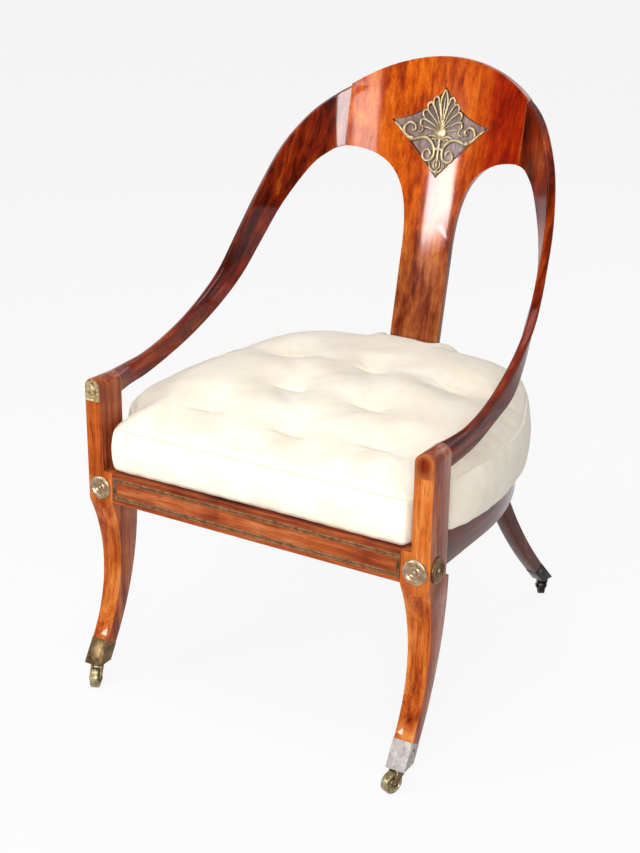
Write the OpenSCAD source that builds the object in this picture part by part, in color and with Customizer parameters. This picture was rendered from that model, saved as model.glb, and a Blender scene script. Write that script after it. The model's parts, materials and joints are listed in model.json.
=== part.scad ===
// Spoon back armchair: a hollowed back board and swept arms on a horseshoe seat frame,
// sabre legs, a loose tufted squab and four swivelling brass castors.
// X runs across the chair, Y from front to back, Z up, and the wheels stand on Z zero.
// Pieces are drawn from the front faces of the posts, and placed() then centres the chair.

/* [Overall] */
// Width over the front posts
overall_w = 540; // [520:1:580]
// Height of the top of the crest above the floor
overall_h = 860; // [840:1:890]

/* [Seat frame] */
// Height of the underside of the seat rails
rail_low = 281; // [270:1:295]
// Height of the seat rails from underside to top
rail_h = 45; // [40:1:50]
// Depth of the seat frame, front face to back face
frame_depth = 475; // [468:1:495]
// Length of each side before it curves in, as a share of the frame's depth
side_straight_share = 0.4; // [0.36:0.01:0.41]
// How far the side rails stand inside the posts
side_setback = 16; // [10:1:20]
// Radius of the sweep of each side, as a share of the frame's depth
side_r_share = 1.01; // [0.99:0.01:1.09]
// Angle that each side sweeps through before the rear corner
side_turn = 26; // [25:0.5:27]
// Radius of the rear corners in plan, as a share of the frame's depth
corner_r_share = 0.19; // [0.17:0.01:0.2]
// Thickness of the front rail
front_rail_t = 28; // [24:1:32]
// Thickness of the curved rails round the sides and back
curved_rail_t = 46; // [44:1:48]

/* [Front legs] */
// Width of the blocks that carry the rosettes
block_w = 41; // [38:1:44]
// Width of the posts above the seat
post_w = 26.5; // [24:0.5:29]
// Depth of posts and blocks, front to back
post_d = 46; // [42:1:50]
// Height of the top of the posts
post_top = 460; // [450:1:466]
// Height of the deepest point of the hollow down the front of the leg
shin_z = 188; // [180:1:196]
// Depth of that hollow behind the face of the block
shin_depth = 19; // [16:0.5:21]
// Radius of the hollow
shin_r = 230; // [222:1:245]
// Height of the fullest point down the back of the leg
calf_z = 245; // [238:1:252]
// Distance of that point behind the face of the block
calf_depth = 56; // [54:0.5:58]
// Radius of the back of the leg
calf_r = 360; // [350:1:380]

/* [Rear legs] */
// Angle that the rear legs splay outwards from straight back
rear_splay = 12.5; // [10:0.5:15]
// Width of the heads of the rear legs along the rail
head_w = 44; // [40:1:48]
// Width of the rear legs
rear_leg_w = 20; // [18:0.5:22]
// How far back the rear legs reach to the mouths of their cups
rear_run = 138.5; // [134:0.5:144]

/* [Toes] */
// Width of the front cups
cup_w = 27.5; // [26:0.5:29]
// Depth of the front cups, square to the leg
cup_d = 22.5; // [21.5:0.5:24]
// Width of the rear cups
rear_cup_w = 20.5; // [19.5:0.5:22]
// Depth of the rear cups, square to the leg
rear_cup_d = 19; // [18:0.5:20]
// Thickness of the brass of the cups
cup_wall = 1.8; // [1.5:0.1:2.4]
// Height of the middle of the mouth of the front cups
front_cup_z = 62; // [58:1:66]
// Height of the middle of the mouth of the rear cups
rear_cup_z = 63; // [60:1:66]
// Lean of the front toes from the vertical
front_lean = 31; // [28:1:34]
// Lean of the rear toes from the vertical
rear_lean = 43; // [41:1:45]

/* [Castors] */
// Radius of the wheels
wheel_r = 14.5; // [13:0.5:16]
// Width of the wheels
wheel_w = 11; // [9:0.5:13]
// Distance of each axle behind its pintle
trail = 13; // [12:0.5:14]
// Radius of the axles
axle_r = 2; // [1.6:0.1:2.4]
// Radius of the pintles
pintle_r = 3; // [2.5:0.1:3.6]
// Radius of the round top plate of the horns
horn_r = 9; // [8:0.5:10]
// Thickness of the top plate of the horns
horn_t = 3.5; // [3:0.1:4.5]
// Thickness of the cheeks of the horns
cheek_t = 2.5; // [2:0.1:3]
// Turn of the front left castor, zero being forwards
front_left_turn = 24; // [-180:1:180]
// Turn of the front right castor
front_right_turn = -19; // [-30:1:30]
// Turn of the rear left castor
rear_left_turn = 150; // [-180:1:180]
// Turn of the rear right castor
rear_right_turn = -152; // [-180:1:180]

/* [Back] */
// Thickness of the back board and the hoop
board_t = 13; // [12:0.5:16]
// Thickness that the back board is planed down to along the top of the crest
crest_top_t = 7; // [6:0.5:10]
// Radius of the hollow of the back at arm height
hollow_r = 275; // [270:1:280]
// Height at which that radius is taken
hollow_z = 446; // [440:1:452]
// Growth of the radius with height, which is the rake of the back
rake_share = 0.21; // [0.2:0.005:0.22]
// Distance of the axis of the hollow in front of the back of the frame
hollow_set = 294; // [291:1:297]
// Radius of the hoop seen from the front
hoop_r = 250; // [246:1:254]
// Width of the splat
splat_w = 80; // [72:1:88]
// How far below the top of the crest the splat begins to flare
flare_drop = 270; // [260:1:280]
// Width of the crest between its joints with the arms
crest_w = 290; // [282:1:298]
// How far below the top of the crest its underside lies at those joints
crest_drop = 138; // [134:1:142]
// Height of an arm where it meets its post
arm_h = 30; // [28:1:33]

/* [Squab] */
// Height of the middle of the crown above the rails
squab_crown = 121; // [116:1:123]
// Height of the side seams above the rails
squab_seam = 80; // [74:1:84]
// How much lower the front seam is
squab_front_drop = 16; // [10:1:20]
// How much higher the back seam is
squab_back_rise = 24; // [16:1:26]
// Depth of the tufts
tuft_depth = 26; // [18:1:30]
// Radius of the dimple round each tuft
tuft_r = 36; // [30:1:42]

/* [Trim] */
// Radius of the rosettes
rosette_r = 17.5; // [16:0.5:18.5]
// Height of the rosettes' centres above the underside of the rails
rosette_rise = 20; // [19:0.5:22]
// How far a rosette stands proud
rosette_t = 4; // [3:0.25:5]
// Number of flutes round each rosette
rosette_flutes = 24; // [16:2:28]
// Radius of each reed of the beading on the front rail
reed_r = 1.6; // [1.2:0.1:2]
// Margin of wood above and below the beading
bead_margin = 9.5; // [8:0.5:12]
// Width of the lozenge on the crest
plaque_w = 162; // [150:1:168]
// Height of the lozenge on the crest
plaque_h = 133; // [126:1:138]
// How far below the top of the crest the lozenge's lower point lies
plaque_drop = 176; // [170:1:180]
// Thickness of the lozenge's ground
plaque_t = 1.5; // [1.2:0.1:2]
// How far the brass relief stands proud of the ground
relief_t = 1.4; // [1:0.1:2]
// Height of the tablets at the tops of the posts
tablet_h = 34; // [30:1:38]
// Thickness of those tablets
tablet_t = 1.5; // [1:0.1:2]

/* [Joinery] */
// Thickness of the tenons
tenon_t = 12; // [10:1:14]
// Length of the tenons
tenon_l = 17; // [14:1:18]
// Radius of the dowels in the arms
dowel_r = 3.5; // [2.5:0.5:4]
// Length of those dowels
dowel_l = 28; // [22:1:32]
// Radius of the shanks of the corner block screws
screw_r = 2.2; // [1.8:0.1:2.6]
// Thickness of the woven cane
cane_t = 2; // [1.5:0.1:2.5]
// Width of the rebate that holds the cane
rebate_w = 6; // [5:0.5:6.5]
// Spacing of the gaps in the cane
cane_pitch = 26; // [25:0.5:30]

/* [Fits] */
// Clearance of a tenon, dowel or screw in its hole
fit_gap = 0.1; // [0.05:0.05:0.2]
// Radial clearance of the castors' turning parts
run_gap = 0.05; // [0.03:0.01:0.1]
// Clearance between faces that turn past each other
side_gap = 0.3; // [0.2:0.05:0.5]

/* [Hidden] */

wood = "sienna";
brass = "goldenrod";

// Overrun of every cut past the surface it leaves through
over = 1;
// Reach of a cut that only has to be longer than any piece
far = overall_w + overall_h;
round_fn = 64;
cone_fn = 180;

half_w = overall_w / 2;
rail_top = rail_low + rail_h;

// Plan of the horseshoe: a straight, a long side sweep, a tight corner and a shallow back,
// each tangent to the next; t is the distance inwards from the outer face
side_x = half_w - side_setback;
side_straight = frame_depth * side_straight_share;
side_r = frame_depth * side_r_share;
corner_r = frame_depth * corner_r_share;
side_c = [side_x - side_r, side_straight];
corner_c = side_c + (side_r - corner_r) * [cos(side_turn), sin(side_turn)];
back_turn = 2 * atan((frame_depth - corner_r - corner_c.y) / corner_c.x);
back_r = corner_r + corner_c.x / sin(back_turn);
back_c = [0, frame_depth - back_r];
corner_end = 90 - back_turn;
plan_step = 2;

function arc_pt(c, r, a) = c + r * [cos(a), sin(a)];
function side_arc(t, a0, a1) = [for (i = [0:round((a1 - a0) / plan_step)])
    arc_pt(side_c, side_r - t, a0 + (a1 - a0) * i / round((a1 - a0) / plan_step))];
function corner_arc(t) = [for (i = [1:7]) arc_pt(corner_c, corner_r - t,
    side_turn + (corner_end - side_turn) * i / 8)];
function back_arc(t) = [for (i = [0:8]) arc_pt(back_c, back_r - t, corner_end + back_turn * i / 8)];
function reversed(p) = [for (i = [len(p) - 1:-1:0]) p[i]];
function flipped(p) = [for (i = [len(p) - 1:-1:0]) [-p[i].x, p[i].y]];
// The whole curve at the distance t inside the outer face, from the right front to the left front
function right_run(t, front_y) = concat([[side_x - t, front_y]],
    side_arc(t, 0, side_turn), corner_arc(t), back_arc(t));
function plan_run(t, front_y) = concat(right_run(t, front_y), flipped(right_run(t, front_y)));

// The hollow of the back is a cone about a vertical axis
hollow_y = frame_depth - hollow_set;
function hollow_at(z) = hollow_r + rake_share * (z - hollow_z);
function hollow_depth(x, z, t) = hollow_y + sqrt(pow(hollow_at(z) + t, 2) - x * x);

function bezier(p, t) = pow(1 - t, 3) * p[0] + 3 * pow(1 - t, 2) * t * p[1]
    + 3 * (1 - t) * t * t * p[2] + pow(t, 3) * p[3];
function bezier_run(p, n) = [for (i = [0:n]) bezier(p, i / n)];
function bend(p, t) = pow(1 - t, 2) * p[0] + 2 * (1 - t) * t * p[1] + t * t * p[2];
function bend_run(p, n) = [for (i = [0:n]) bend(p, i / n)];
// A smooth curve through a list of points
function glide(p, i, t) = let (
        a = p[max(i - 1, 0)],
        b = p[i],
        c = p[i + 1],
        d = p[min(i + 2, len(p) - 1)])
    0.5 * (2 * b + (c - a) * t + (2 * a - 5 * b + 4 * c - d) * t * t
        + (3 * b - a - 3 * c + d) * t * t * t);
function glide_run(p, n) = concat([for (i = [0:len(p) - 2], k = [0:n - 1]) glide(p, i, k / n)],
    [p[len(p) - 1]]);

// Castor levels, from the floor up
plate_gap = 1.5;
plate_low = 2 * wheel_r + plate_gap;
plate_top = plate_low + horn_t;
cup_base = plate_top + side_gap;
fork_in = wheel_w + 2 * side_gap;
fork_out = fork_in + 2 * cheek_t;

// Middle of each kind of toe at the mouth of its cup, in Y and Z
front_toe = [(shin_depth - shin_r + sqrt(pow(shin_r, 2) - pow(shin_z - front_cup_z, 2))
    + calf_depth - calf_r + sqrt(pow(calf_r, 2) - pow(calf_z - front_cup_z, 2))) / 2, front_cup_z];
toe_l = 20;
front_leg_x = half_w - block_w / 2;
front_pin_y = front_toe.x - (front_toe.y - cup_base) * tan(front_lean);

// The rear legs stand in planes of their own, square to the rail at its rear corners;
// here the first number runs outwards along the leg's plane and the second is the height
head_set = 2.2;
head_turn = corner_end - head_set;
head_c = arc_pt(corner_c, corner_r - curved_rail_t / 2, head_turn);
rear_toe = [rear_run, rear_cup_z];
rear_pin_run = rear_run + (rear_cup_z - cup_base) * tan(rear_lean);
rear_pin = head_c + rear_pin_run * [sin(rear_splay), cos(rear_splay)];

// The chair is centred over its footprint, which ends at the wheels
function wheel_span(turn) = wheel_r * abs(cos(turn)) + wheel_w / 2 * abs(sin(turn));
front_reach = max(trail * cos(front_right_turn) + wheel_span(front_right_turn),
    trail * cos(front_left_turn) + wheel_span(front_left_turn));
rear_reach = max(wheel_span(rear_right_turn) - trail * cos(rear_right_turn),
    wheel_span(rear_left_turn) - trail * cos(rear_left_turn));
mid_y = (front_pin_y - front_reach + rear_pin.y + rear_reach) / 2;

module placed() {
    translate([0, -mid_y, 0]) children();
}

module on_left() {
    mirror([1, 0, 0]) children();
}

// Moves pieces into the plane of the right rear leg, Y running outwards along it
module in_rear_plane() {
    translate([head_c.x, head_c.y, 0])
        rotate([0, 0, -rear_splay]) children();
}

// An outline drawn in Y and Z, made w wide about the middle x
module side_cut(x, w) {
    translate([x - w / 2, 0, 0])
        rotate([90, 0, 90])
            linear_extrude(w) children();
}

// An outline drawn in X and Z, made from y0 to y1
module front_cut(y0, y1) {
    translate([0, y1, 0])
        rotate([90, 0, 0])
            linear_extrude(y1 - y0) children();
}

// Back board and hoop

flare_z = overall_h - flare_drop;
crest_low = overall_h - crest_drop;
joint_turn = acos(crest_w / 2 / hoop_r);
hoop_z = overall_h - hoop_r;
shoulder_rise = 1;
crest_shoulder = [crest_w / 2 * 0.965, crest_low + shoulder_rise];
splat_swell = 2;
flare_pull_share = 0.617;
flare_reach_share = 0.962;
flare_run_share = 0.26;
foot_w = splat_w * 0.75;
foot_t = board_t * 0.5;
foot_l = 20;

function splat_edge() = bezier_run([
    [splat_w / 2, flare_z],
    [splat_w / 2 + splat_swell, flare_z + (crest_shoulder.y - flare_z) * flare_pull_share],
    [splat_w / 2 + (crest_shoulder.x - splat_w / 2) * flare_run_share,
        flare_z + (crest_shoulder.y - flare_z) * flare_reach_share],
    crest_shoulder], 16);

function crest_edge() = [for (i = [0:20]) let (a = joint_turn + (90 - joint_turn) * i / 20)
    [hoop_r * cos(a), hoop_z + hoop_r * sin(a)]];

function board_half() = concat([[splat_w / 2, rail_top]], splat_edge(),
    [[crest_w / 2, crest_low]], crest_edge());

// A layer of the hollow between two depths behind its face
module hollow_layer(t0, t1, z0, z1) {
    translate([0, hollow_y, 0])
        rotate_extrude($fn = cone_fn)
            polygon([
                [hollow_at(z0) + t0, z0],
                [hollow_at(z0) + t1, z0],
                [hollow_at(z1) + t1, z1],
                [hollow_at(z1) + t0, z1]
            ]);
}

// The same layer for the whole board, thinned towards the top of the crest
module board_layer() {
    thin_z = hoop_z + hoop_r * sin(joint_turn);
    translate([0, hollow_y, 0])
        rotate_extrude($fn = cone_fn)
            polygon([
                [hollow_at(rail_top), rail_top],
                [hollow_at(rail_top) + board_t, rail_top],
                [hollow_at(thin_z) + board_t, thin_z],
                [hollow_at(overall_h) + crest_top_t, overall_h],
                [hollow_at(overall_h), overall_h]
            ]);
}

module splat_foot(gap) {
    foot_y = hollow_depth(0, rail_top, board_t * 0.67);
    translate([-foot_w / 2 - gap, foot_y - foot_t / 2 - gap, rail_top - foot_l - gap])
        cube([foot_w + 2 * gap, foot_t + 2 * gap, foot_l + gap + over]);
}

module crest_splat() {
    placed() color(wood) {
        difference() {
            union() {
                intersection() {
                    board_layer();
                    front_cut(hollow_y + over, frame_depth + far)
                        polygon(concat(board_half(), flipped(board_half())));
                }
                splat_foot(0);
            }
            intersection() {
                hollow_layer(-over, plaque_t + seat_gap, plaque_low - over, overall_h);
                front_cut(hollow_y + over, frame_depth + far) polygon(lozenge(0));
            }
            crest_dowels(dowel_r + fit_gap, fit_gap);
            on_left() crest_dowels(dowel_r + fit_gap, fit_gap);
        }
    }
}

// Each arm is a sweep between the top edge of its outer face and the low edge of its inner face.
// Both edges follow shares of half the width, of the frame's depth and of the height from the
// posts to the crest; the last share of the top edge sets the extra thickness
arm_top_shares = [
    [0.9985, 0.168, 0.0025, 0.37],
    [0.9955, 0.253, 0.011, 0.11],
    [0.9925, 0.358, 0.042, 0.06],
    [0.985, 0.463, 0.091, 0.04],
    [0.978, 0.568, 0.156, 0],
    [0.967, 0.653, 0.232, 0],
    [0.939, 0.737, 0.3635, 0],
    [0.902, 0.821, 0.5055, 0],
    [0.834, 0.905, 0.6605, 0],
    [0.733, 0.983, 0.775, 0],
    [0.637, 1.044, 0.839, 0]
];
arm_low_shares = [
    [0.932, 0.168, -0.0725],
    [0.942, 0.259, -0.062],
    [0.9415, 0.377, -0.027],
    [0.939, 0.4905, 0.016],
    [0.906, 0.602, 0.094],
    [0.867, 0.699, 0.191],
    [0.8445, 0.7915, 0.305],
    [0.785, 0.8675, 0.4425],
    [0.681, 0.945, 0.581],
    [0.604, 0.988, 0.634],
    [0.567, 1.0025, 0.6495]
];
arm_steps = 4;
joint_z = hoop_z + hoop_r * sin(joint_turn);

function arm_knot(s) = [s.x * half_w, s.y * frame_depth, post_top + s.z * (overall_h - post_top)];
arm_top_knots = concat(
    [[half_w, post_d, post_top, 1]],
    [for (s = arm_top_shares) concat(arm_knot(s), [s[3]])],
    [[crest_w / 2, hollow_depth(crest_w / 2, joint_z, board_t), joint_z, 0]]);
arm_low_knots = concat(
    [[half_w - post_w, post_d, post_top - arm_h]],
    [for (s = arm_low_shares) arm_knot(s)],
    [[crest_w / 2, hollow_depth(crest_w / 2, crest_low, 0), crest_low]]);
arm_top_run = glide_run(arm_top_knots, arm_steps);
arm_low_run = glide_run(arm_low_knots, arm_steps);
arm_n = len(arm_top_run) - 1;

// The board turns from facing across the chair to facing the axis of the hollow
function ease(t) = let (u = min(max(t, 0), 1)) u * u * (3 - 2 * u);
function arm_facing(p) = ease((p.z - post_top) / (overall_h - post_top) / 0.36)
    * atan2(max(p.y - hollow_y, 0), p.x);
function arm_t(i) = board_t + (post_w - board_t) * arm_top_run[i][3];
function arm_round(i) = let (u = ease(i / arm_n / 0.6))
    post_w / 2 * (1 - u) + arm_edge_r * u;
arm_edge_r = 2.5;
low_round = 1.5;
round_steps = 4;
crown_flat = 0.05;

// Section of an arm: distance out through the board, then up across it
function arm_section(i, h) = let (t = arm_t(i), r = min(arm_round(i), t / 2 - crown_flat)) concat(
    [[0, low_round], [low_round, 0], [t - low_round, 0], [t, low_round]],
    [for (k = [0:round_steps]) [t - r + r * cos(90 * k / round_steps),
        h - r + r * sin(90 * k / round_steps)]],
    [for (k = [0:round_steps]) [r - r * sin(90 * k / round_steps),
        h - r + r * cos(90 * k / round_steps)]]);

function arm_station(i) = let (
        edge = [arm_top_run[i].x, arm_top_run[i].y, arm_top_run[i].z],
        a = arm_facing(edge),
        last = i == arm_n,
        out = [cos(a), sin(a), 0],
        top = last ? [edge.x, hollow_depth(edge.x, edge.z, 0), edge.z] : edge - out * arm_t(i),
        low = arm_low_run[i],
        h = norm(top - low),
        up = (top - low) / h,
        s = arm_section(i, h))
    [for (q = s) let (p = low + up * q.y)
        last ? [p.x, p.y + (hollow_depth(p.x, p.z, board_t) - p.y) * q.x / board_t, p.z]
            : p + out * q.x];

module arm_body() {
    m = len(arm_section(0, arm_h));
    pts = [for (i = [0:arm_n]) each arm_station(i)];
    walls = [for (i = [0:arm_n - 1], k = [0:m - 1]) let (
            a = i * m + k,
            b = i * m + (k + 1) % m)
        each [[a, a + m, b], [b, a + m, b + m]]];
    front_cap = [for (k = [1:m - 2]) [0, k, k + 1]];
    back_cap = [for (k = [1:m - 2]) [arm_n * m, arm_n * m + k + 1, arm_n * m + k]];
    polyhedron(concat(pts), concat(walls, front_cap, back_cap));
}

dowel_levels = [0.3, 0.75];

// Two dowels across the joint of crest and arm, lying along the board
module crest_dowels(r, gap) {
    for (s = dowel_levels) {
        z = crest_low + (joint_z - crest_low) * s;
        y = hollow_depth(crest_w / 2, z, board_t / 2);
        translate([crest_w / 2, y, z])
            rotate([0, 90, -atan2(crest_w / 2, y - hollow_y)])
                translate([0, 0, -dowel_l / 2 - gap])
                    cylinder(r = r, h = dowel_l + 2 * gap, $fn = round_fn);
    }
}

post_dowel_in = 1;

// One dowel from the back of the post into the arm
module post_dowel(r, gap) {
    translate([half_w - post_w / 2 - post_dowel_in, post_d - dowel_l / 2 - gap, post_top - arm_h / 2])
        rotate([-90, 0, 0])
            cylinder(r = r, h = dowel_l + 2 * gap, $fn = round_fn);
}

module arm() {
    difference() {
        arm_body();
        crest_dowels(dowel_r + fit_gap, fit_gap);
        post_dowel(dowel_r + fit_gap, fit_gap);
    }
}

module right_arm() {
    placed() color(wood) arm();
}

module left_arm() {
    placed() color(wood) on_left() arm();
}

module dowel_set() {
    crest_dowels(dowel_r, 0);
    post_dowel(dowel_r, 0);
}

module arm_dowels() {
    placed() color("tan") {
        dowel_set();
        on_left() dowel_set();
    }
}

// Front legs

arch_drop = 13;
step_back = 3.5;
leg_steps = 14;
cup_lip = 0.3;
toe_half = cup_w / 2 - cup_lip;

function shin_at(z) = shin_depth - shin_r + sqrt(pow(shin_r, 2) - pow(shin_z - z, 2));
function calf_at(z) = calf_depth - calf_r + sqrt(pow(calf_r, 2) - pow(calf_z - z, 2));

leg_foot_z = front_cup_z - cup_d;
leg_levels = [for (i = [0:leg_steps]) leg_foot_z + (rail_low - leg_foot_z) * i / leg_steps];

// The leg narrows from the block to the toe, most of it near the top
function leg_half(z) = let (u = max((z - front_cup_z) / (rail_low - front_cup_z), 0))
    toe_half + (block_w / 2 - toe_half) * pow(u, 1.8);

module front_leg_curve() {
    intersection() {
        side_cut(front_leg_x, block_w)
            polygon(concat([for (z = leg_levels) [shin_at(z), z]],
                [for (z = reversed(leg_levels)) [calf_at(z), z]]));
        front_cut(-far / 2, far / 2)
            polygon(concat([for (z = leg_levels) [front_leg_x - leg_half(z), z]],
                [for (z = reversed(leg_levels)) [front_leg_x + leg_half(z), z]]));
    }
}

// The block ends in a shallow arch, a step proud of the leg
module front_block_shape() {
    arch_r = (pow(block_w / 2, 2) + pow(arch_drop, 2)) / 2 / arch_drop;
    intersection() {
        translate([half_w - block_w, 0, rail_low - arch_drop])
            cube([block_w, post_d, rail_h + arch_drop]);
        front_cut(0, post_d) {
            translate([front_leg_x, rail_low - arch_drop + arch_r]) circle(r = arch_r, $fn = cone_fn);
            translate([half_w - block_w, rail_low]) square([block_w, rail_h]);
        }
    }
}

module post_shape() {
    translate([half_w - post_w, 0, rail_top - over])
        cube([post_w, post_d, post_top - post_w / 2 - rail_top + over]);
    translate([half_w - post_w / 2, 0, post_top - post_w / 2])
        rotate([-90, 0, 0])
            cylinder(d = post_w, h = post_d, $fn = round_fn);
}

// Puts the mouth of a cup at the origin, with the leg running up Z
module at_toe(x, toe, lean) {
    translate([x, toe.x, toe.y])
        rotate([lean, 0, 0]) children();
}

// The end of a leg inside a cup of the width w and depth d
module toe_peg(w, d, gap) {
    toe_w = w - 2 * cup_wall;
    toe_d = d - 2 * cup_wall;
    translate([-toe_w / 2 - gap, -toe_d / 2 - gap, -toe_l - gap])
        cube([toe_w + 2 * gap, toe_d + 2 * gap, toe_l + gap + over]);
}

// Everything beyond the mouth of a cup
module past_mouth() {
    translate([-far / 2, -cup_w * 2, -cup_w * 3]) cube([far, cup_w * 4, cup_w * 3]);
}

module front_leg() {
    difference() {
        union() {
            difference() {
                front_leg_curve();
                at_toe(front_leg_x, front_toe, -front_lean) past_mouth();
            }
            at_toe(front_leg_x, front_toe, -front_lean) toe_peg(cup_w, cup_d, 0);
            front_block_shape();
            post_shape();
        }
        front_tenon(fit_gap);
        side_front_tenon(fit_gap);
        post_dowel(dowel_r + fit_gap, fit_gap);
        nail_pair(nail_r + fit_gap, fit_gap);
        cup_screw_pair(front_leg_x, front_toe, -front_lean, cup_w, cup_screw_r + fit_gap);
    }
}

module front_right_leg() {
    placed() color(wood) front_leg();
}

module front_left_leg() {
    placed() color(wood) on_left() front_leg();
}

// Rear legs

// Where the front and back of a rear leg leave the rail, from the middle of its head
shin_start = -16;
calf_start = 14;
shin_pull_share = 0.34;
calf_pull_share = 0.34;
pull_fall_share = 0.535;
leg_fall = rail_low - rear_cup_z;
rear_half_d = (rear_cup_d / 2 - cup_lip) / cos(rear_lean);

function rear_curve(s0, s1, share) = bend_run([
    [s0, rail_low + over],
    [s0 + (s1 - s0) * share, rail_low - leg_fall * pull_fall_share],
    [s1, rear_cup_z]], 12);

// The two edges run on past the cup, square to its mouth
function run_on(p, lean) = concat(p, [p[len(p) - 1] + rear_cup_d * [sin(lean), -cos(lean)]]);

module rear_leg_curve() {
    side_cut(0, rear_leg_w)
        polygon(concat(run_on(rear_curve(shin_start, rear_run - rear_half_d, shin_pull_share), rear_lean),
            reversed(run_on(rear_curve(calf_start, rear_run + rear_half_d, calf_pull_share), rear_lean))));
}

// The right half of the horseshoe in plan, between two distances inside its outer face
module right_band(t0, t1) {
    polygon(concat(right_run(t0, post_d), reversed(right_run(t1, post_d))));
}

// A strip of the plan across the rail, between two distances from the middle of a head
module plan_strip(u0, u1) {
    translate(head_c)
        rotate(-rear_splay)
            translate([u0, -far / 2]) square([u1 - u0, far]);
}

module rear_head_shape() {
    translate([0, 0, rail_low])
        linear_extrude(rail_h)
            intersection() {
                right_band(0, curved_rail_t);
                plan_strip(-head_w / 2, head_w / 2);
            }
}

module rear_leg() {
    difference() {
        union() {
            in_rear_plane() {
                difference() {
                    rear_leg_curve();
                    at_toe(0, rear_toe, rear_lean) past_mouth();
                }
                at_toe(0, rear_toe, rear_lean) toe_peg(rear_cup_w, rear_cup_d, 0);
            }
            rear_head_shape();
        }
        head_tenon(1, fit_gap);
        head_tenon(-1, fit_gap);
        in_rear_plane() cup_screw_pair(0, rear_toe, rear_lean, rear_cup_w, cup_screw_r + fit_gap);
        cane_rebate();
    }
}

module rear_right_leg() {
    placed() color(wood) rear_leg();
}

module rear_left_leg() {
    placed() color(wood) on_left() rear_leg();
}

// Seat rails and their tenons

tenon_h = rail_h * 0.72;
tenon_z = rail_low + (rail_h - tenon_h) * 0.35;
block_in = half_w - block_w;
front_rail_y = 1;
side_tenon_x = (block_in + side_x - tenon_t) / 2;

// Tenon of the front rail in the right block
module front_tenon(gap) {
    translate([block_in - over, front_rail_y + front_rail_t * 0.25 - gap, tenon_z - gap])
        cube([tenon_l + over + gap, tenon_t + 2 * gap, tenon_h + 2 * gap]);
}

// Tenon of the right side rail in the back of the block
module side_front_tenon(gap) {
    translate([side_tenon_x - gap, post_d - tenon_l - gap, tenon_z - gap])
        cube([tenon_t + 2 * gap, tenon_l + over + gap, tenon_h + 2 * gap]);
}

// Tenon that enters a rear leg's head from the side rail (1) or from the back rail (-1)
module head_tenon(side, gap) {
    c = corner_c - head_c;
    cu = c.x * cos(rear_splay) - c.y * sin(rear_splay);
    cs = c.x * sin(rear_splay) + c.y * cos(rear_splay);
    mid = cs + sqrt(pow(corner_r - curved_rail_t / 2, 2) - pow(side * head_w / 2 - cu, 2));
    in_rear_plane()
        translate([side > 0 ? head_w / 2 - tenon_l - gap : -head_w / 2 - over,
            mid - tenon_t / 2 - gap, tenon_z - gap])
            cube([tenon_l + over + gap, tenon_t + 2 * gap, tenon_h + 2 * gap]);
}

module cane_rebate() {
    translate([0, 0, cane_z])
        linear_extrude(cane_t + spline_t + over) polygon(cane_outline(0));
}

module front_rail() {
    placed() color(wood) {
        difference() {
            union() {
                translate([-block_in, front_rail_y, rail_low])
                    cube([2 * block_in, front_rail_t, rail_h]);
                front_tenon(0);
                on_left() front_tenon(0);
            }
            bead_grooves();
            cane_rebate();
            block_screw_set(screw_r + fit_gap);
            on_left() block_screw_set(screw_r + fit_gap);
        }
    }
}

module side_rail() {
    difference() {
        union() {
            translate([0, 0, rail_low])
                linear_extrude(rail_h)
                    intersection() {
                        right_band(0, curved_rail_t);
                        plan_strip(head_w / 2, far);
                    }
            side_front_tenon(0);
            head_tenon(1, 0);
        }
        cane_rebate();
        block_screw_set(screw_r + fit_gap);
    }
}

module right_side_rail() {
    placed() color(wood) side_rail();
}

module left_side_rail() {
    placed() color(wood) on_left() side_rail();
}

module back_rail() {
    placed() color(wood) {
        difference() {
            union() {
                translate([0, 0, rail_low])
                    linear_extrude(rail_h)
                        intersection() {
                            union() {
                                right_band(0, curved_rail_t);
                                mirror([1, 0]) right_band(0, curved_rail_t);
                            }
                            plan_strip(-far, -head_w / 2);
                            mirror([1, 0]) plan_strip(-far, -head_w / 2);
                        }
                head_tenon(-1, 0);
                on_left() head_tenon(-1, 0);
            }
            splat_foot(fit_gap);
            cane_rebate();
            block_screw_set(screw_r + fit_gap);
            on_left() block_screw_set(screw_r + fit_gap);
        }
    }
}

// Corner blocks and their screws

brace_h = rail_h * 0.65;
brace_z = rail_low + rail_h * 0.12;
brace_leg = 60;
brace_nose = 9;
brace_over = 12;
brace_depth = 60;
rail_in_x = side_x - curved_rail_t;
rail_in_y = front_rail_y + front_rail_t;
screw_l = 34;
rear_screw_l = 50;
screw_head_r = 4;
screw_head_t = 2.4;

module front_brace() {
    difference() {
        translate([0, 0, brace_z])
            linear_extrude(brace_h)
                polygon([
                    [rail_in_x - brace_leg, rail_in_y],
                    [block_in, rail_in_y],
                    [block_in, post_d],
                    [rail_in_x, post_d],
                    [rail_in_x, rail_in_y + brace_leg],
                    [rail_in_x - brace_nose, rail_in_y + brace_leg],
                    [rail_in_x - brace_leg, rail_in_y + brace_nose]
                ]);
        block_screw_set(screw_r + fit_gap);
    }
}

// Glue block behind the head of a rear leg, fitted to the curve of the rails
module rear_brace() {
    difference() {
        translate([0, 0, brace_z])
            linear_extrude(brace_h)
                intersection() {
                    polygon(plan_run(curved_rail_t, post_d));
                    plan_strip(-head_w / 2 - brace_over, head_w / 2 + brace_over);
                    translate(head_c)
                        rotate(-rear_splay)
                            translate([-far / 2, -brace_depth]) square([far, far]);
                }
        block_screw_set(screw_r + fit_gap);
    }
}

module front_right_block() {
    placed() color("burlywood") front_brace();
}

module front_left_block() {
    placed() color("burlywood") on_left() front_brace();
}

module rear_right_block() {
    placed() color("burlywood") rear_brace();
}

module rear_left_block() {
    placed() color("burlywood") on_left() rear_brace();
}

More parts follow.
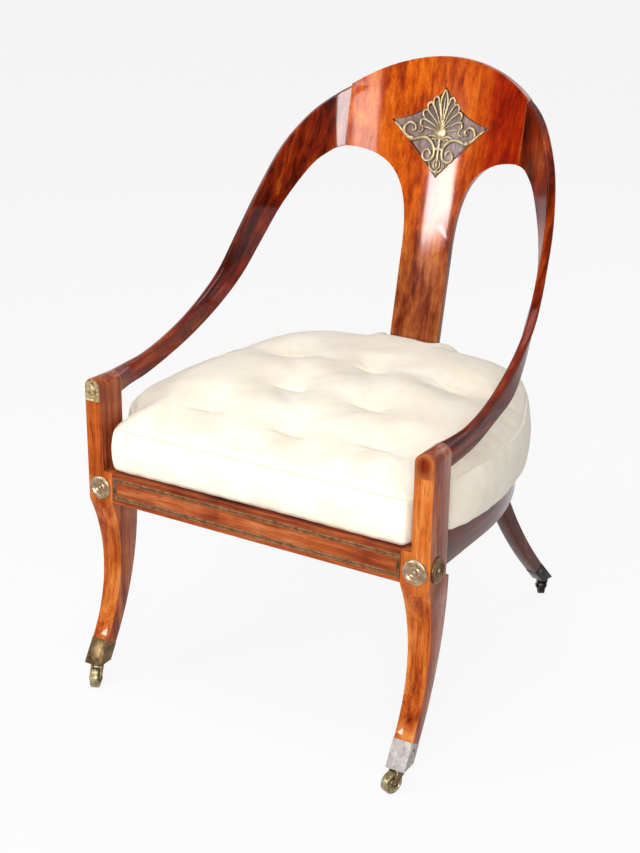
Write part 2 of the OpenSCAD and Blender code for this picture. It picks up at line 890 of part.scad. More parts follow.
// A wood screw lying along Y, its head at the origin and its point towards positive Y
module wood_screw(r, l) {
    rotate([-90, 0, 0]) {
        cylinder(r = r, h = l, $fn = round_fn);
        cylinder(r1 = screw_head_r + r - screw_r, r2 = r, h = screw_head_t, $fn = round_fn);
    }
}

// Both screws of the front block and both of the rear block, on the right
module block_screw_set(r) {
    extra = r - screw_r;
    face = rail_in_y + brace_leg + brace_nose;
    level = brace_z + brace_h / 2;
    from_side = rail_in_x - brace_leg * 0.45;
    translate([from_side, face - (from_side - rail_in_x + brace_leg), level])
        rotate([0, 0, 180]) translate([0, -extra, 0]) wood_screw(r, screw_l + 2 * extra);
    from_front = rail_in_y + brace_leg * 0.72;
    translate([rail_in_x - (rail_in_y + brace_leg - from_front) - brace_nose, from_front, level])
        rotate([0, 0, -90]) translate([0, -extra, 0]) wood_screw(r, screw_l + 2 * extra);
    for (side = [-1, 1])
        in_rear_plane()
            translate([side * (head_w + brace_over) / 2, -brace_depth - extra, level])
                wood_screw(r, rear_screw_l + 2 * extra);
}

module block_screws() {
    placed() color("darkgray") {
        block_screw_set(screw_r);
        on_left() block_screw_set(screw_r);
    }
}

// Woven seat

spline_t = 1;
spline_w = 4;
cane_z = rail_top - cane_t - spline_t - fit_gap;
cane_margin = 12;
gap_r = cane_pitch * 0.34;
cane_front = front_rail_y + front_rail_t - rebate_w;

// Outline of the rebate, drawn in by the distance t
function cane_outline(t) = plan_run(curved_rail_t - rebate_w + t, cane_front + t);

// A gap is kept only where it lies wholly on the open part of the seat
function seat_open(x, y, t) = y < side_straight ? abs(x) < rail_in_x - t
    : norm([abs(x), y] - side_c) < side_r - curved_rail_t - t
        && norm([x, y] - back_c) < back_r - curved_rail_t - t
        && (y < corner_c.y || abs(x) < corner_c.x
            || norm([abs(x), y] - corner_c) < corner_r - curved_rail_t - t);

module cane_panel() {
    n = floor(side_x / cane_pitch);
    placed() color("khaki") {
        translate([0, 0, cane_z])
            linear_extrude(cane_t)
                difference() {
                    polygon(cane_outline(fit_gap));
                    for (i = [-n:n], j = [0:floor(frame_depth / cane_pitch)]) {
                        x = i * cane_pitch;
                        y = rail_in_y + cane_margin + gap_r + j * cane_pitch;
                        if (seat_open(x, y, gap_r + cane_margin * 0.5))
                            translate([x, y]) rotate(22.5) circle(r = gap_r, $fn = 8);
                    }
                }
    }
}

module cane_spline() {
    placed() color("wheat") {
        translate([0, 0, cane_z + cane_t])
            linear_extrude(spline_t)
                difference() {
                    polygon(cane_outline(fit_gap));
                    polygon(cane_outline(spline_w));
                }
    }
}

// Squab

squab_lift = side_gap;
squab_base = rail_top + squab_lift;
squab_mid_y = frame_depth / 2;
splat_gap = 1;

// Half of the fullest outline, from the middle of the front round to the middle of the back,
// as shares of half the width and of the frame's depth on both sides of the notch for the post
squab_front_shares = [[0, 0.001], [0.35, 0.001], [0.7, 0.002]];
squab_back_shares = [
    [1.017, 0.25], [1.031, 0.37], [1.026, 0.46], [1.0, 0.57], [0.963, 0.66], [0.9, 0.755],
    [0.822, 0.842], [0.7, 0.915], [0.53, 0.963], [0.34, 0.985], [0.19, 0.985]
];
squab_post_gap = 2.2;
squab_corner = 8;
squab_behind = 9;
post_in = half_w - post_w - squab_post_gap;
squab_notch = [
    [post_in - squab_corner, squab_corner * 0.25],
    [post_in - squab_corner * 0.14, squab_corner * 1.3],
    [post_in, post_d * 0.62],
    [post_in, post_d + squab_behind],
    [post_in + squab_corner * 0.75, post_d + squab_behind * 1.8],
    [post_in + squab_corner * 2.6, post_d + squab_behind * 3.4]
];
function squab_at(shares) = [for (s = shares) [s.x * half_w, s.y * frame_depth]];
squab_half = concat(squab_at(squab_front_shares), squab_notch, squab_at(squab_back_shares));
squab_n = 64;

// The run of the half outline by length
function run_len(p) = [for (i = 0, s = 0; i < len(p); i = i + 1,
    s = s + (i < len(p) ? norm(p[i] - p[i - 1]) : 0)) s];
squab_run = run_len(squab_half);
function run_at(p, r, s) = let (
        i = max([for (k = [0:len(p) - 2]) if (r[k] <= s) k]),
        t = (s - r[i]) / (r[i + 1] - r[i]))
    p[i] + (p[i + 1] - p[i]) * min(t, 1);

// Points across the back follow the splat at their own height
back_pts = 3;
side_pts = squab_n / 2 - back_pts;
function squab_side(k) = run_at(squab_half, squab_run, squab_run[len(squab_half) - 1] * k / side_pts);
splat_side_gap = 3;
splat_side = splat_w / 2 + splat_side_gap;
splat_clear_share = 0.6;
squab_back = squab_half[len(squab_half) - 1].y;

// A point of the outline before the splat is allowed for
function squab_plain(k, inset) = let (
        flip = k > squab_n / 2,
        j = flip ? squab_n - k : k,
        p = j > side_pts ? [splat_side * (squab_n / 2 - j) / (back_pts - 1), squab_back]
            : squab_side(j),
        c = [0, squab_mid_y],
        q = c + (p - c) * (1 - inset / norm(p - c)))
    [flip ? -q.x : q.x, q.y];
function clear_of_splat(q, inset, z) = abs(q.x) > splat_side ? q.y
    : min(q.y, hollow_depth(splat_w / 2, z, 0) - splat_gap - inset * splat_clear_share);
function squab_point(k, inset, z) = let (q = squab_plain(k, inset))
    [q.x, clear_of_splat(q, inset, z), z];

seam_front_run = 0.3;
seam_back_start = 0.6;
function seam_z(y) = squab_base + squab_seam
    - squab_front_drop * (1 - ease(y / frame_depth / seam_front_run))
    + squab_back_rise * ease((y / frame_depth - seam_back_start) / (1 - seam_back_start));

// Three tufts, two and three, as shares of half the width and of the depth
tuft_shares = [
    [-0.49, 0.19], [0, 0.185], [0.49, 0.19],
    [-0.23, 0.455], [0.23, 0.455],
    [-0.5, 0.74], [0, 0.76], [0.5, 0.74]
];
function tuft_dip(p) = max([for (s = tuft_shares)
    exp(-pow(norm([p.x - s.x * half_w, p.y - s.y * frame_depth]) / tuft_r, 2) * 2)]);
crown_power = 14;
function crown_z(p, u) = let (e = seam_z(p.y))
    e + (squab_base + squab_crown - e) * (1 - pow(u, crown_power)) - tuft_depth * tuft_dip(p);

// Sides of the squab: distance inside the fullest outline, and share of the height to the seam
squab_sides = [[10, 0], [3, 0.06], [0.5, 0.28], [0, 0.55], [2, 0.85], [6, 1]];
squab_rings = [0.965, 0.92, 0.86, 0.78, 0.69, 0.6, 0.5, 0.4, 0.29, 0.18, 0.08];

module squab_body() {
    low = [for (s = squab_sides) each [for (k = [0:squab_n - 1]) let (
            p = squab_point(k, s[0], squab_base),
            z = squab_base + (seam_z(p.y) - squab_base) * s[1])
        squab_point(k, s[0], z)]];
    c = [0, squab_mid_y];
    top = [for (u = squab_rings) each [for (k = [0:squab_n - 1]) let (
            q = c + (squab_plain(k, squab_sides[5][0]) - c) * u,
            z = crown_z(q, u))
        [q.x, clear_of_splat(q, squab_sides[5][0], z), z]]];
    rings = len(squab_sides) + len(squab_rings);
    n = squab_n;
    walls = [for (i = [0:rings - 2], k = [0:n - 1]) let (
            a = i * n + k,
            b = i * n + (k + 1) % n)
        each [[a, a + n, b], [b, a + n, b + n]]];
    mid_low = rings * n;
    mid_top = mid_low + 1;
    caps = [for (k = [0:n - 1]) each [[mid_low, k, (k + 1) % n],
        [mid_top, (rings - 1) * n + (k + 1) % n, (rings - 1) * n + k]]];
    polyhedron(concat(low, top, [[0, squab_mid_y, squab_base], [0, squab_mid_y, crown_z(c, 0)]]),
        concat(walls, caps));
}

module seat_cushion() {
    placed() color("ivory") squab_body();
}

// Rosettes and their nails

nail_r = 1.2;
nail_l = 11;
nail_head_r = 3;
nail_head_t = 2;
rosette_z = rail_low + rosette_rise;
side_rosette_y = post_d * 0.44;

// Turned boss with radial flutes, its back at the origin and its face towards positive Z
module rosette() {
    difference() {
        rotate_extrude($fn = round_fn)
            polygon(concat(
                [[nail_r + fit_gap, 0], [rosette_r, 0], [rosette_r, rosette_t * 0.3]],
                [for (i = [1:6]) let (a = 15 * i) [
                    rosette_r * 0.72 + rosette_r * 0.28 * cos(a),
                    rosette_t * 0.3 + rosette_t * 0.7 * sin(a)]],
                [
                    [rosette_r * 0.56, rosette_t * 0.45],
                    [rosette_r * 0.46, rosette_t * 0.45],
                    [rosette_r * 0.38, rosette_t * 0.75],
                    [rosette_r * 0.3, rosette_t * 0.45],
                    [nail_r + fit_gap, rosette_t * 0.45]
                ]));
        for (i = [0:rosette_flutes - 1])
            rotate([0, 0, 360 * i / rosette_flutes])
                translate([rosette_r * 0.62, 0, rosette_t * 1.05])
                    rotate([0, 90, 0])
                        cylinder(r1 = rosette_t * 0.12, r2 = rosette_t * 0.42, h = rosette_r, $fn = 16);
    }
}

module nail(r, gap) {
    translate([0, 0, -nail_l - gap])
        cylinder(r = r, h = nail_l + rosette_t * 0.45 + 2 * gap, $fn = round_fn);
}

module nail_with_head() {
    nail(nail_r, 0);
    translate([0, 0, rosette_t * 0.45])
        rotate_extrude($fn = round_fn)
            polygon(concat([[0, 0]], [for (i = [0:6]) [nail_head_r * cos(15 * i), nail_head_t * sin(15 * i)]]));
}

module on_front_face() {
    translate([front_leg_x, 0, rosette_z]) rotate([90, 0, 0]) children();
}

module on_side_face() {
    translate([half_w, side_rosette_y, rosette_z]) rotate([0, 90, 0]) children();
}

module nail_pair(r, gap) {
    on_front_face() nail(r, gap);
    on_side_face() nail(r, gap);
}

module front_right_rosette() {
    placed() color(brass) on_front_face() rosette();
}

module front_left_rosette() {
    placed() color(brass) on_left() on_front_face() rosette();
}

module right_side_rosette() {
    placed() color(brass) on_side_face() rosette();
}

module left_side_rosette() {
    placed() color(brass) on_left() on_side_face() rosette();
}

module nails_right() {
    on_front_face() nail_with_head();
    on_side_face() nail_with_head();
}

module rosette_nails() {
    placed() color(brass) {
        nails_right();
        on_left() nails_right();
    }
}

// Reeded beading round the panel of the front rail: two reeds along each side of the frame

bead_x = block_in - reed_r * 0.5;
bead_lines = [rail_low + bead_margin, rail_top - bead_margin];

module reed_x(z, half, r) {
    translate([-half, front_rail_y, z]) rotate([0, 90, 0]) cylinder(r = r, h = 2 * half, $fn = 24);
}

module reed_z(x, r) {
    translate([x, front_rail_y, bead_lines[0] - reed_r * 2])
        cylinder(r = r, h = bead_lines[1] - bead_lines[0] + reed_r * 4, $fn = 24);
}

module bead_frame(r) {
    for (z = bead_lines, s = [-1, 1])
        reed_x(z + s * reed_r * 0.95, bead_x - reed_r, r);
    for (side = [-1, 1], s = [1, 3])
        reed_z(side * (bead_x - s * reed_r * 0.95), r);
}

module bead_grooves() {
    bead_frame(reed_r + fit_gap);
}

module rail_beading() {
    placed() color(brass) bead_frame(reed_r);
}

// Lozenge on the crest, laid in the hollow

plaque_low = overall_h - plaque_drop;
plaque_mid = plaque_low + plaque_h * 0.5;
border_proud = 0.3;
border_w = 2.2;
seat_gap = 0.2;

// Outline with hollow upper sides and nearly straight lower sides, drawn in by the distance t
function lozenge_quarter(t) = let (w = plaque_w / 2 - t * 1.9, top = plaque_low + plaque_h - t * 1.7,
        low = plaque_low + t * 1.5, side = plaque_low + plaque_h * 0.61)
    concat(
        [for (i = [0:7]) bend([[0, low], [w * 0.46, low + (side - low) * 0.5], [w, side]], i / 8)],
        [for (i = [0:8]) bend([[w, side], [w * 0.36, side + (top - side) * 0.13], [0, top]], i / 8)]);
function lozenge(t) = let (q = lozenge_quarter(t)) concat(q,
    [for (i = [len(q) - 2:-1:1]) [-q[i].x, q[i].y]]);

module plaque_layer(t0, t1) {
    intersection() {
        hollow_layer(t0, t1, plaque_low - over, plaque_low + plaque_h + over);
        front_cut(hollow_y + over, frame_depth + far) children();
    }
}

module plaque_ground() {
    placed() color("rosybrown") plaque_layer(0, plaque_t) polygon(lozenge(border_w));
}

module plaque_border() {
    placed() color("saddlebrown") plaque_layer(-border_proud, plaque_t) difference() {
        polygon(lozenge(0));
        polygon(lozenge(border_w));
    }
}

// A ribbon of brass along a line of points, its width tapering from w0 to w1
function line_side(p, i) = let (d = p[min(i + 1, len(p) - 1)] - p[max(i - 1, 0)])
    [-d.y, d.x] / norm(d);
function ribbon(p, w0, w1) = let (n = len(p) - 1) concat(
    [for (i = [0:n]) p[i] + line_side(p, i) * (w0 + (w1 - w0) * i / n) / 2],
    [for (i = [n:-1:0]) p[i] - line_side(p, i) * (w0 + (w1 - w0) * i / n) / 2]);

// A volute that winds inwards from the radius r0 to r1
function volute(c, r0, r1, a0, a1, n) = [for (i = [0:n]) let (u = i / n)
    c + (r0 + (r1 - r0) * u) * [cos(a0 + (a1 - a0) * u), sin(a0 + (a1 - a0) * u)]];

palm_c = [0, plaque_low + plaque_h * 0.42];
palm_l = plaque_h * 0.43;
lobe_turns = [0, 15, 30, 46, 64];
lobe_lengths_share = [1, 0.86, 0.74, 0.62, 0.52];
stem_w = plaque_h * 0.026;

// One lobe of the palmette: a long drop whose tip curls outwards
function lobe(a, l) = let (c = palm_c + palm_l * 0.22 * [sin(a), cos(a)])
    [for (i = [0:24]) let (
            u = i / 24,
            s = sin(180 * pow(u, 0.8)),
            side = 360 * u,
            along = l * (0.5 - 0.5 * cos(side)),
            across = l * 0.11 * sin(side) * (0.35 + 0.65 * along / l),
            curl = a * pow(along / l, 2) * 0.25)
        c + along * [sin(a + curl), cos(a + curl)] + across * [cos(a + curl), -sin(a + curl)]];

bud_h = plaque_h * 0.14;
function bud() = [for (i = [0:23]) let (a = 15 * i)
    palm_c + [bud_h * 0.34 * cos(a) * (1 - 0.35 * sin(a)), bud_h * 0.5 * sin(a)]];

scroll_c = [plaque_w * 0.098, plaque_low + plaque_h * 0.245];
scroll_r = plaque_h * 0.082;
stem_top = [plaque_w * 0.33, plaque_low + plaque_h * 0.5];

module ornament_half() {
    for (i = [1:4]) polygon(lobe(lobe_turns[i], palm_l * lobe_lengths_share[i]));
    polygon(ribbon(volute(scroll_c, scroll_r, scroll_r * 0.45, 100, -290, 20), stem_w, stem_w * 0.7));
    polygon(ribbon(bezier_run([
        scroll_c + [-scroll_r * 0.17, scroll_r * 0.98],
        [plaque_w * 0.03, plaque_low + plaque_h * 0.46],
        [plaque_w * 0.2, plaque_low + plaque_h * 0.42],
        stem_top], 12), stem_w, stem_w * 0.8));
    polygon(ribbon(volute(stem_top + [0, plaque_h * 0.07], plaque_h * 0.07, plaque_h * 0.03, -90, 170, 12),
        stem_w * 0.8, stem_w * 0.6));
    polygon(ribbon(bezier_run([
        [plaque_w * 0.02, plaque_low + plaque_h * 0.27],
        [plaque_w * 0.06, plaque_low + plaque_h * 0.16],
        [plaque_w * 0.05, plaque_low + plaque_h * 0.1],
        [0, plaque_low + plaque_h * 0.05]], 8), stem_w, stem_w * 0.7));
}

module ornament_shape() {
    ornament_half();
    mirror([1, 0]) ornament_half();
    polygon(lobe(0, palm_l));
    polygon(bud());
    translate([-plaque_w * 0.06, scroll_c.y + scroll_r * 0.3]) square([plaque_w * 0.12, stem_w]);
}

module plaque_ornament() {
    placed() color(brass) plaque_layer(-relief_t - seat_gap, -seat_gap) intersection() {
        ornament_shape();
        polygon(lozenge(border_w + fit_gap));
    }
}

// Tablets at the tops of the posts, shaped like the posts' arched ends

tablet_margin = 1.4;

module tablet_outline(margin) {
    r = post_w / 2 - margin;
    intersection() {
        union() {
            translate([half_w - post_w / 2, post_top - post_w / 2]) circle(r = r, $fn = round_fn);
            translate([half_w - post_w / 2 - r, post_top - tablet_h + margin])
                square([2 * r, tablet_h - post_w / 2 - margin]);
        }
        translate([half_w - post_w, post_top - tablet_h]) square([post_w, tablet_h]);
    }
}

// Pressed brass: a raised rim, a sunk field and a raised oval in the middle
module left_post_tablet() {
    placed() color(brass) on_left() {
        front_cut(-tablet_t * 0.5, 0) tablet_outline(tablet_margin);
        front_cut(-tablet_t, -tablet_t * 0.5) difference() {
            tablet_outline(tablet_margin);
            tablet_outline(tablet_margin * 2);
        }
        translate([half_w - post_w / 2, -tablet_t * 0.5, post_top - tablet_h * 0.52])
            rotate([90, 0, 0])
                cylinder(r1 = post_w * 0.24, r2 = post_w * 0.16, h = tablet_t * 0.6, $fn = round_fn);
    }
}

// The brass is lost here, which leaves the wooden ground within a thin line
module right_post_tablet() {
    placed() color("brown") {
        front_cut(-tablet_t * 0.4, 0) tablet_outline(tablet_margin);
    }
}

// Castors

cup_screw_r = 1.3;
cup_screw_l = 7;

module cup(x, toe, lean, w, d, pin_y) {
    difference() {
        intersection() {
            at_toe(x, toe, lean)
                translate([-w / 2, -d / 2, -cup_w * 3]) cube([w, d, cup_w * 3]);
            translate([x - far / 2, pin_y - far / 2, cup_base]) cube([far, far, far]);
        }
        at_toe(x, toe, lean) toe_peg(w, d, fit_gap);
        translate([x, pin_y, cup_base - over])
            cylinder(r = pintle_r + fit_gap, h = pintle_rise + over + fit_gap, $fn = round_fn);
        cup_screw_pair(x, toe, lean, w, cup_screw_r + fit_gap);
    }
}

// A screw through each side wall of a cup into the toe
module cup_screw_pair(x, toe, lean, w, r) {
    extra = r - cup_screw_r;
    at_toe(x, toe, lean)
        for (side = [-1, 1])
            translate([side * (w / 2 + extra), 0, -toe_l * 0.42])
                rotate([0, -side * 90, 0]) {
                    cylinder(r = r, h = cup_screw_l + 2 * extra, $fn = 24);
                    cylinder(r1 = r * 1.9, r2 = r, h = cup_wall * 0.7, $fn = 24);
                }
}

module cup_screws() {
    placed() color("gold") for (side = [0, 1]) mirror([side, 0, 0]) {
        cup_screw_pair(front_leg_x, front_toe, -front_lean, cup_w, cup_screw_r);
        in_rear_plane() cup_screw_pair(0, rear_toe, rear_lean, rear_cup_w, cup_screw_r);
    }
}

module front_cup() {
    cup(front_leg_x, front_toe, -front_lean, cup_w, cup_d, front_pin_y);
}

module rear_cup() {
    in_rear_plane() cup(0, rear_toe, rear_lean, rear_cup_w, rear_cup_d, rear_pin_run);
}

module front_right_cup() {
    placed() color(brass) front_cup();
}

module front_left_cup() {
    placed() color(brass) on_left() front_cup();
}

module rear_right_cup() {
    placed() color(brass) rear_cup();
}

module rear_left_cup() {
    placed() color(brass) on_left() rear_cup();
}

pintle_rise = 4.5;
rivet_t = 1.6;
rivet_r = 4.6;
axle_head_t = 1.2;
axle_head_r = 3.2;
hub_r = 5.5;

// Fixed pin that the horn turns on, riveted over below its plate
module pintle() {
    translate([0, 0, plate_low - side_gap - rivet_t])
        cylinder(r = pintle_r, h = cup_base + pintle_rise - plate_low + side_gap + rivet_t, $fn = round_fn);
    translate([0, 0, plate_low - side_gap - rivet_t])
        cylinder(r1 = rivet_r * 0.75, r2 = rivet_r, h = rivet_t, $fn = round_fn);
}

// Side of a cheek: wide at the plate, tapering back and down to the axle
function cheek_outline() = concat(
    [[-horn_r * 0.75, plate_top], [horn_r * 0.45, plate_top], [horn_r * 0.5, plate_low - horn_t * 0.5]],
    [for (i = [0:10]) let (a = 20 - 22 * i)
        [-trail + hub_r * cos(a), wheel_r + hub_r * sin(a)]]);

module horn() {
    difference() {
        union() {
            translate([0, 0, plate_low]) cylinder(r = horn_r, h = horn_t, $fn = round_fn);
            translate([-fork_out / 2, -horn_r * 0.75, plate_low]) cube([fork_out, horn_r * 1.2, horn_t]);
            for (side = [-1, 1])
                translate([side * (fork_in + cheek_t) / 2 - cheek_t / 2, 0, 0])
                    rotate([90, 0, 90])
                        linear_extrude(cheek_t) polygon(cheek_outline());
        }
        translate([0, 0, plate_low - over])
            cylinder(r = pintle_r + run_gap, h = horn_t + 2 * over, $fn = round_fn);
        translate([-fork_out / 2 - over, -trail, wheel_r])
            rotate([0, 90, 0])
                cylinder(r = axle_r + run_gap, h = fork_out + 2 * over, $fn = round_fn);
    }
}

module axle() {
    translate([-fork_out / 2 - axle_head_t, -trail, wheel_r])
        rotate([0, 90, 0]) {
            cylinder(r = axle_r, h = fork_out + 2 * axle_head_t, $fn = round_fn);
            cylinder(r1 = axle_head_r * 0.7, r2 = axle_head_r, h = axle_head_t, $fn = round_fn);
            translate([0, 0, fork_out + axle_head_t])
                cylinder(r1 = axle_head_r, r2 = axle_head_r * 0.7, h = axle_head_t, $fn = round_fn);
        }
}

// Turned wheel: a flat tread, sunk sides and a hub
module wheel() {
    half = wheel_w / 2;
    translate([0, -trail, wheel_r])
        rotate([0, 90, 0])
            rotate_extrude($fn = round_fn)
                polygon([
                    [axle_r + run_gap, -half],
                    [hub_r * 0.85, -half],
                    [hub_r, -half * 0.7],
                    [wheel_r * 0.7, -half * 0.7],
                    [wheel_r * 0.78, -half],
                    [wheel_r * 0.95, -half],
                    [wheel_r, -half * 0.85],
                    [wheel_r, half * 0.85],
                    [wheel_r * 0.95, half],
                    [wheel_r * 0.78, half],
                    [wheel_r * 0.7, half * 0.7],
                    [hub_r, half * 0.7],
                    [hub_r * 0.85, half],
                    [axle_r + run_gap, half]
                ]);
}

module at_castor(x, y, turn) {
    placed() translate([x, y, 0]) rotate([0, 0, turn]) children();
}

module at_front_left() {
    at_castor(-front_leg_x, front_pin_y, front_left_turn) children();
}

module at_front_right() {
    at_castor(front_leg_x, front_pin_y, front_right_turn) children();
}

module at_rear_left() {
    at_castor(-rear_pin.x, rear_pin.y, rear_left_turn) children();
}

module at_rear_right() {
    at_castor(rear_pin.x, rear_pin.y, rear_right_turn) children();
}

module front_left_pintle() { color(brass) at_front_left() pintle(); }
module front_right_pintle() { color(brass) at_front_right() pintle(); }
module rear_left_pintle() { color(brass) at_rear_left() pintle(); }
module rear_right_pintle() { color(brass) at_rear_right() pintle(); }
module front_left_horn() { color("peru") at_front_left() horn(); }
module front_right_horn() { color("peru") at_front_right() horn(); }
module rear_left_horn() { color("peru") at_rear_left() horn(); }
module rear_right_horn() { color("peru") at_rear_right() horn(); }
module front_left_axle() { color("gray") at_front_left() axle(); }
module front_right_axle() { color("gray") at_front_right() axle(); }
module rear_left_axle() { color("gray") at_rear_left() axle(); }
module rear_right_axle() { color("gray") at_rear_right() axle(); }
module front_left_wheel() { color(brass) at_front_left() wheel(); }
module front_right_wheel() { color(brass) at_front_right() wheel(); }
module rear_left_wheel() { color(brass) at_rear_left() wheel(); }
module rear_right_wheel() { color(brass) at_rear_right() wheel(); }

crest_splat();
left_arm();
right_arm();
arm_dowels();
front_left_leg();
front_right_leg();
rear_left_leg();
rear_right_leg();
front_rail();
left_side_rail();
right_side_rail();
back_rail();
front_left_block();
front_right_block();
rear_left_block();
rear_right_block();
block_screws();
cane_panel();
cane_spline();
seat_cushion();
front_left_rosette();
front_right_rosette();
left_side_rosette();
right_side_rosette();
rosette_nails();
rail_beading();
plaque_ground();
plaque_border();
plaque_ornament();
left_post_tablet();
right_post_tablet();
front_left_cup();
front_right_cup();
rear_left_cup();
rear_right_cup();
cup_screws();
front_left_pintle();
front_right_pintle();
rear_left_pintle();
rear_right_pintle();
front_left_horn();
front_right_horn();
rear_left_horn();
rear_right_horn();
front_left_axle();
front_right_axle();
rear_left_axle();
rear_right_axle();
front_left_wheel();
front_right_wheel();
rear_left_wheel();
rear_right_wheel();
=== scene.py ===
import json
import math
import bmesh
import bpy
import numpy as np
from mathutils import Matrix, Vector
from mathutils.bvhtree import BVHTree


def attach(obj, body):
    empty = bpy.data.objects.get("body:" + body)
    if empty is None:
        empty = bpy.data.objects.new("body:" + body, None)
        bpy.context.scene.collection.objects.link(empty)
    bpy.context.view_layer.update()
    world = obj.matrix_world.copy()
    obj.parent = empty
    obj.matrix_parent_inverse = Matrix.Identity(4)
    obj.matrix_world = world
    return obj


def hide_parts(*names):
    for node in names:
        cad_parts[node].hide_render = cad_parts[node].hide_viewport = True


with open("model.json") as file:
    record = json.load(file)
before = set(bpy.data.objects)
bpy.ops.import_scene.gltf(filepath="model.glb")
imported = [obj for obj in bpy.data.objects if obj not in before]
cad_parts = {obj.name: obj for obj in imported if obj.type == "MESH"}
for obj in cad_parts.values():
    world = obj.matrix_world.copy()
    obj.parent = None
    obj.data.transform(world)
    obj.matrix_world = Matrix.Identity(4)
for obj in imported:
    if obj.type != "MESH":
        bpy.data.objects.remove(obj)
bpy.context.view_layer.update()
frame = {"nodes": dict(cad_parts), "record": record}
bodyOfNode = {
    node: body
    for body, nodes in frame["record"]["behaviour"]["bodies"].items()
    for node in nodes
}


# Camera, fitted to the frame's corners in the photograph
viewpoint = {
    "place": (0.9960, -1.74862, 1.1084),
    "target": (-0.0394, -0.02982, 0.3599),
    "rollDegrees": 0.8,
    "lens": 61.98,
    "shift": (-0.00182, -0.00258),
}


def placeCamera():
    data = bpy.data.cameras.new("camera")
    data.lens = viewpoint["lens"]
    data.shift_x, data.shift_y = viewpoint["shift"]
    eye = Vector(viewpoint["place"])
    ahead = (Vector(viewpoint["target"]) - eye).normalized()
    level = ahead.cross(Vector((0, 0, 1))).normalized()
    above = level.cross(ahead)
    roll = math.radians(viewpoint["rollDegrees"])
    right = level * math.cos(roll) + above * math.sin(roll)
    up = right.cross(ahead)
    turn = Matrix((right, up, -ahead)).transposed().to_4x4()
    camera = bpy.data.objects.new("camera", data)
    bpy.context.scene.collection.objects.link(camera)
    camera.matrix_world = Matrix.Translation(eye) @ turn
    bpy.context.scene.camera = camera


placeCamera()
print("camera placed")


# Materials

def linear(text):
    # sRGB hex to the linear colour that the shaders take
    shares = [int(text[i:i + 2], 16) / 255 for i in (1, 3, 5)]
    bent = [s / 12.92 if s <= 0.04045 else ((s + 0.055) / 1.055) ** 2.4 for s in shares]
    return (*bent, 1)


def addNode(tree, kind, links=None, **settings):
    # links maps an input's name or number to a socket or a plain value
    node = tree.nodes.new("ShaderNode" + kind)
    for name, value in settings.items():
        setattr(node, name, value)
    for key, value in (links or {}).items():
        socket = node.inputs[key]
        if isinstance(value, bpy.types.NodeSocket):
            tree.links.new(value, socket)
        else:
            socket.default_value = value
    return node


def newMaterial(name):
    material = bpy.data.materials.new(name)
    material.use_nodes = True
    material.node_tree.nodes.clear()
    return material, material.node_tree


def surface(material, sockets):
    # one Principled shader with these inputs
    shader = addNode(material.node_tree, "BsdfPrincipled", sockets)
    addNode(material.node_tree, "OutputMaterial", {"Surface": shader.outputs[0]})
    return material


def objectPlace(tree):
    return addNode(tree, "TexCoord").outputs["Object"]


def mapped(tree, place, **changes):
    # changes are the Mapping node's own Location, Rotation and Scale
    return addNode(tree, "Mapping", {"Vector": place, **changes}).outputs[0]


def axisOf(tree, vector, axis):
    return addNode(tree, "SeparateXYZ", {0: vector}).outputs[axis]


def noise(tree, place, detail, scale=1.0, roughness=0.5):
    links = {"Vector": place, "Scale": scale, "Detail": detail, "Roughness": roughness}
    return addNode(tree, "TexNoise", links)


def relief(tree, height, strength, depth, over=None):
    # a bump of this depth in metres, laid over another where there is one
    links = {"Height": height, "Strength": strength, "Distance": depth}
    if over:
        links["Normal"] = over
    return addNode(tree, "Bump", links).outputs[0]


def shelter(tree, reach, stops):
    # how hidden a place is by what stands within reach of it
    return ramp(tree, addNode(tree, "AmbientOcclusion", {"Distance": reach}, samples=6).outputs["AO"], stops)


def blend(tree, share, first, second):
    return addNode(tree, "Mix", {0: share, 6: first, 7: second}, data_type="RGBA").outputs[2]


def ramp(tree, share, stops):
    # stops are places with a hex colour or a plain value
    node = addNode(tree, "ValToRGB", {"Fac": share})
    while len(node.color_ramp.elements) < len(stops):
        node.color_ramp.elements.new(0.5)
    for element, (place, colour) in zip(node.color_ramp.elements, stops):
        element.position = place
        element.color = linear(colour) if isinstance(colour, str) else (colour,) * 3 + (1,)
    return node.outputs["Color"]


def maths(tree, operation, first, second=0.0, third=0.0):
    return addNode(tree, "Math", {0: first, 1: second, 2: third}, operation=operation).outputs[0]


def vectorMaths(tree, operation, first, second=(0, 0, 0), third=(0, 0, 0)):
    return addNode(tree, "VectorMath", {0: first, 1: second, 2: third}, operation=operation).outputs


def edgeShare(tree, radius):
    # 0 on a flat face, rising on the rounded edges within the radius
    soft = addNode(tree, "Bevel", {"Radius": radius}, samples=4).outputs[0]
    plain = addNode(tree, "NewGeometry").outputs["Normal"]
    return maths(tree, "SUBTRACT", 1.0, vectorMaths(tree, "DOT_PRODUCT", soft, plain)["Value"])


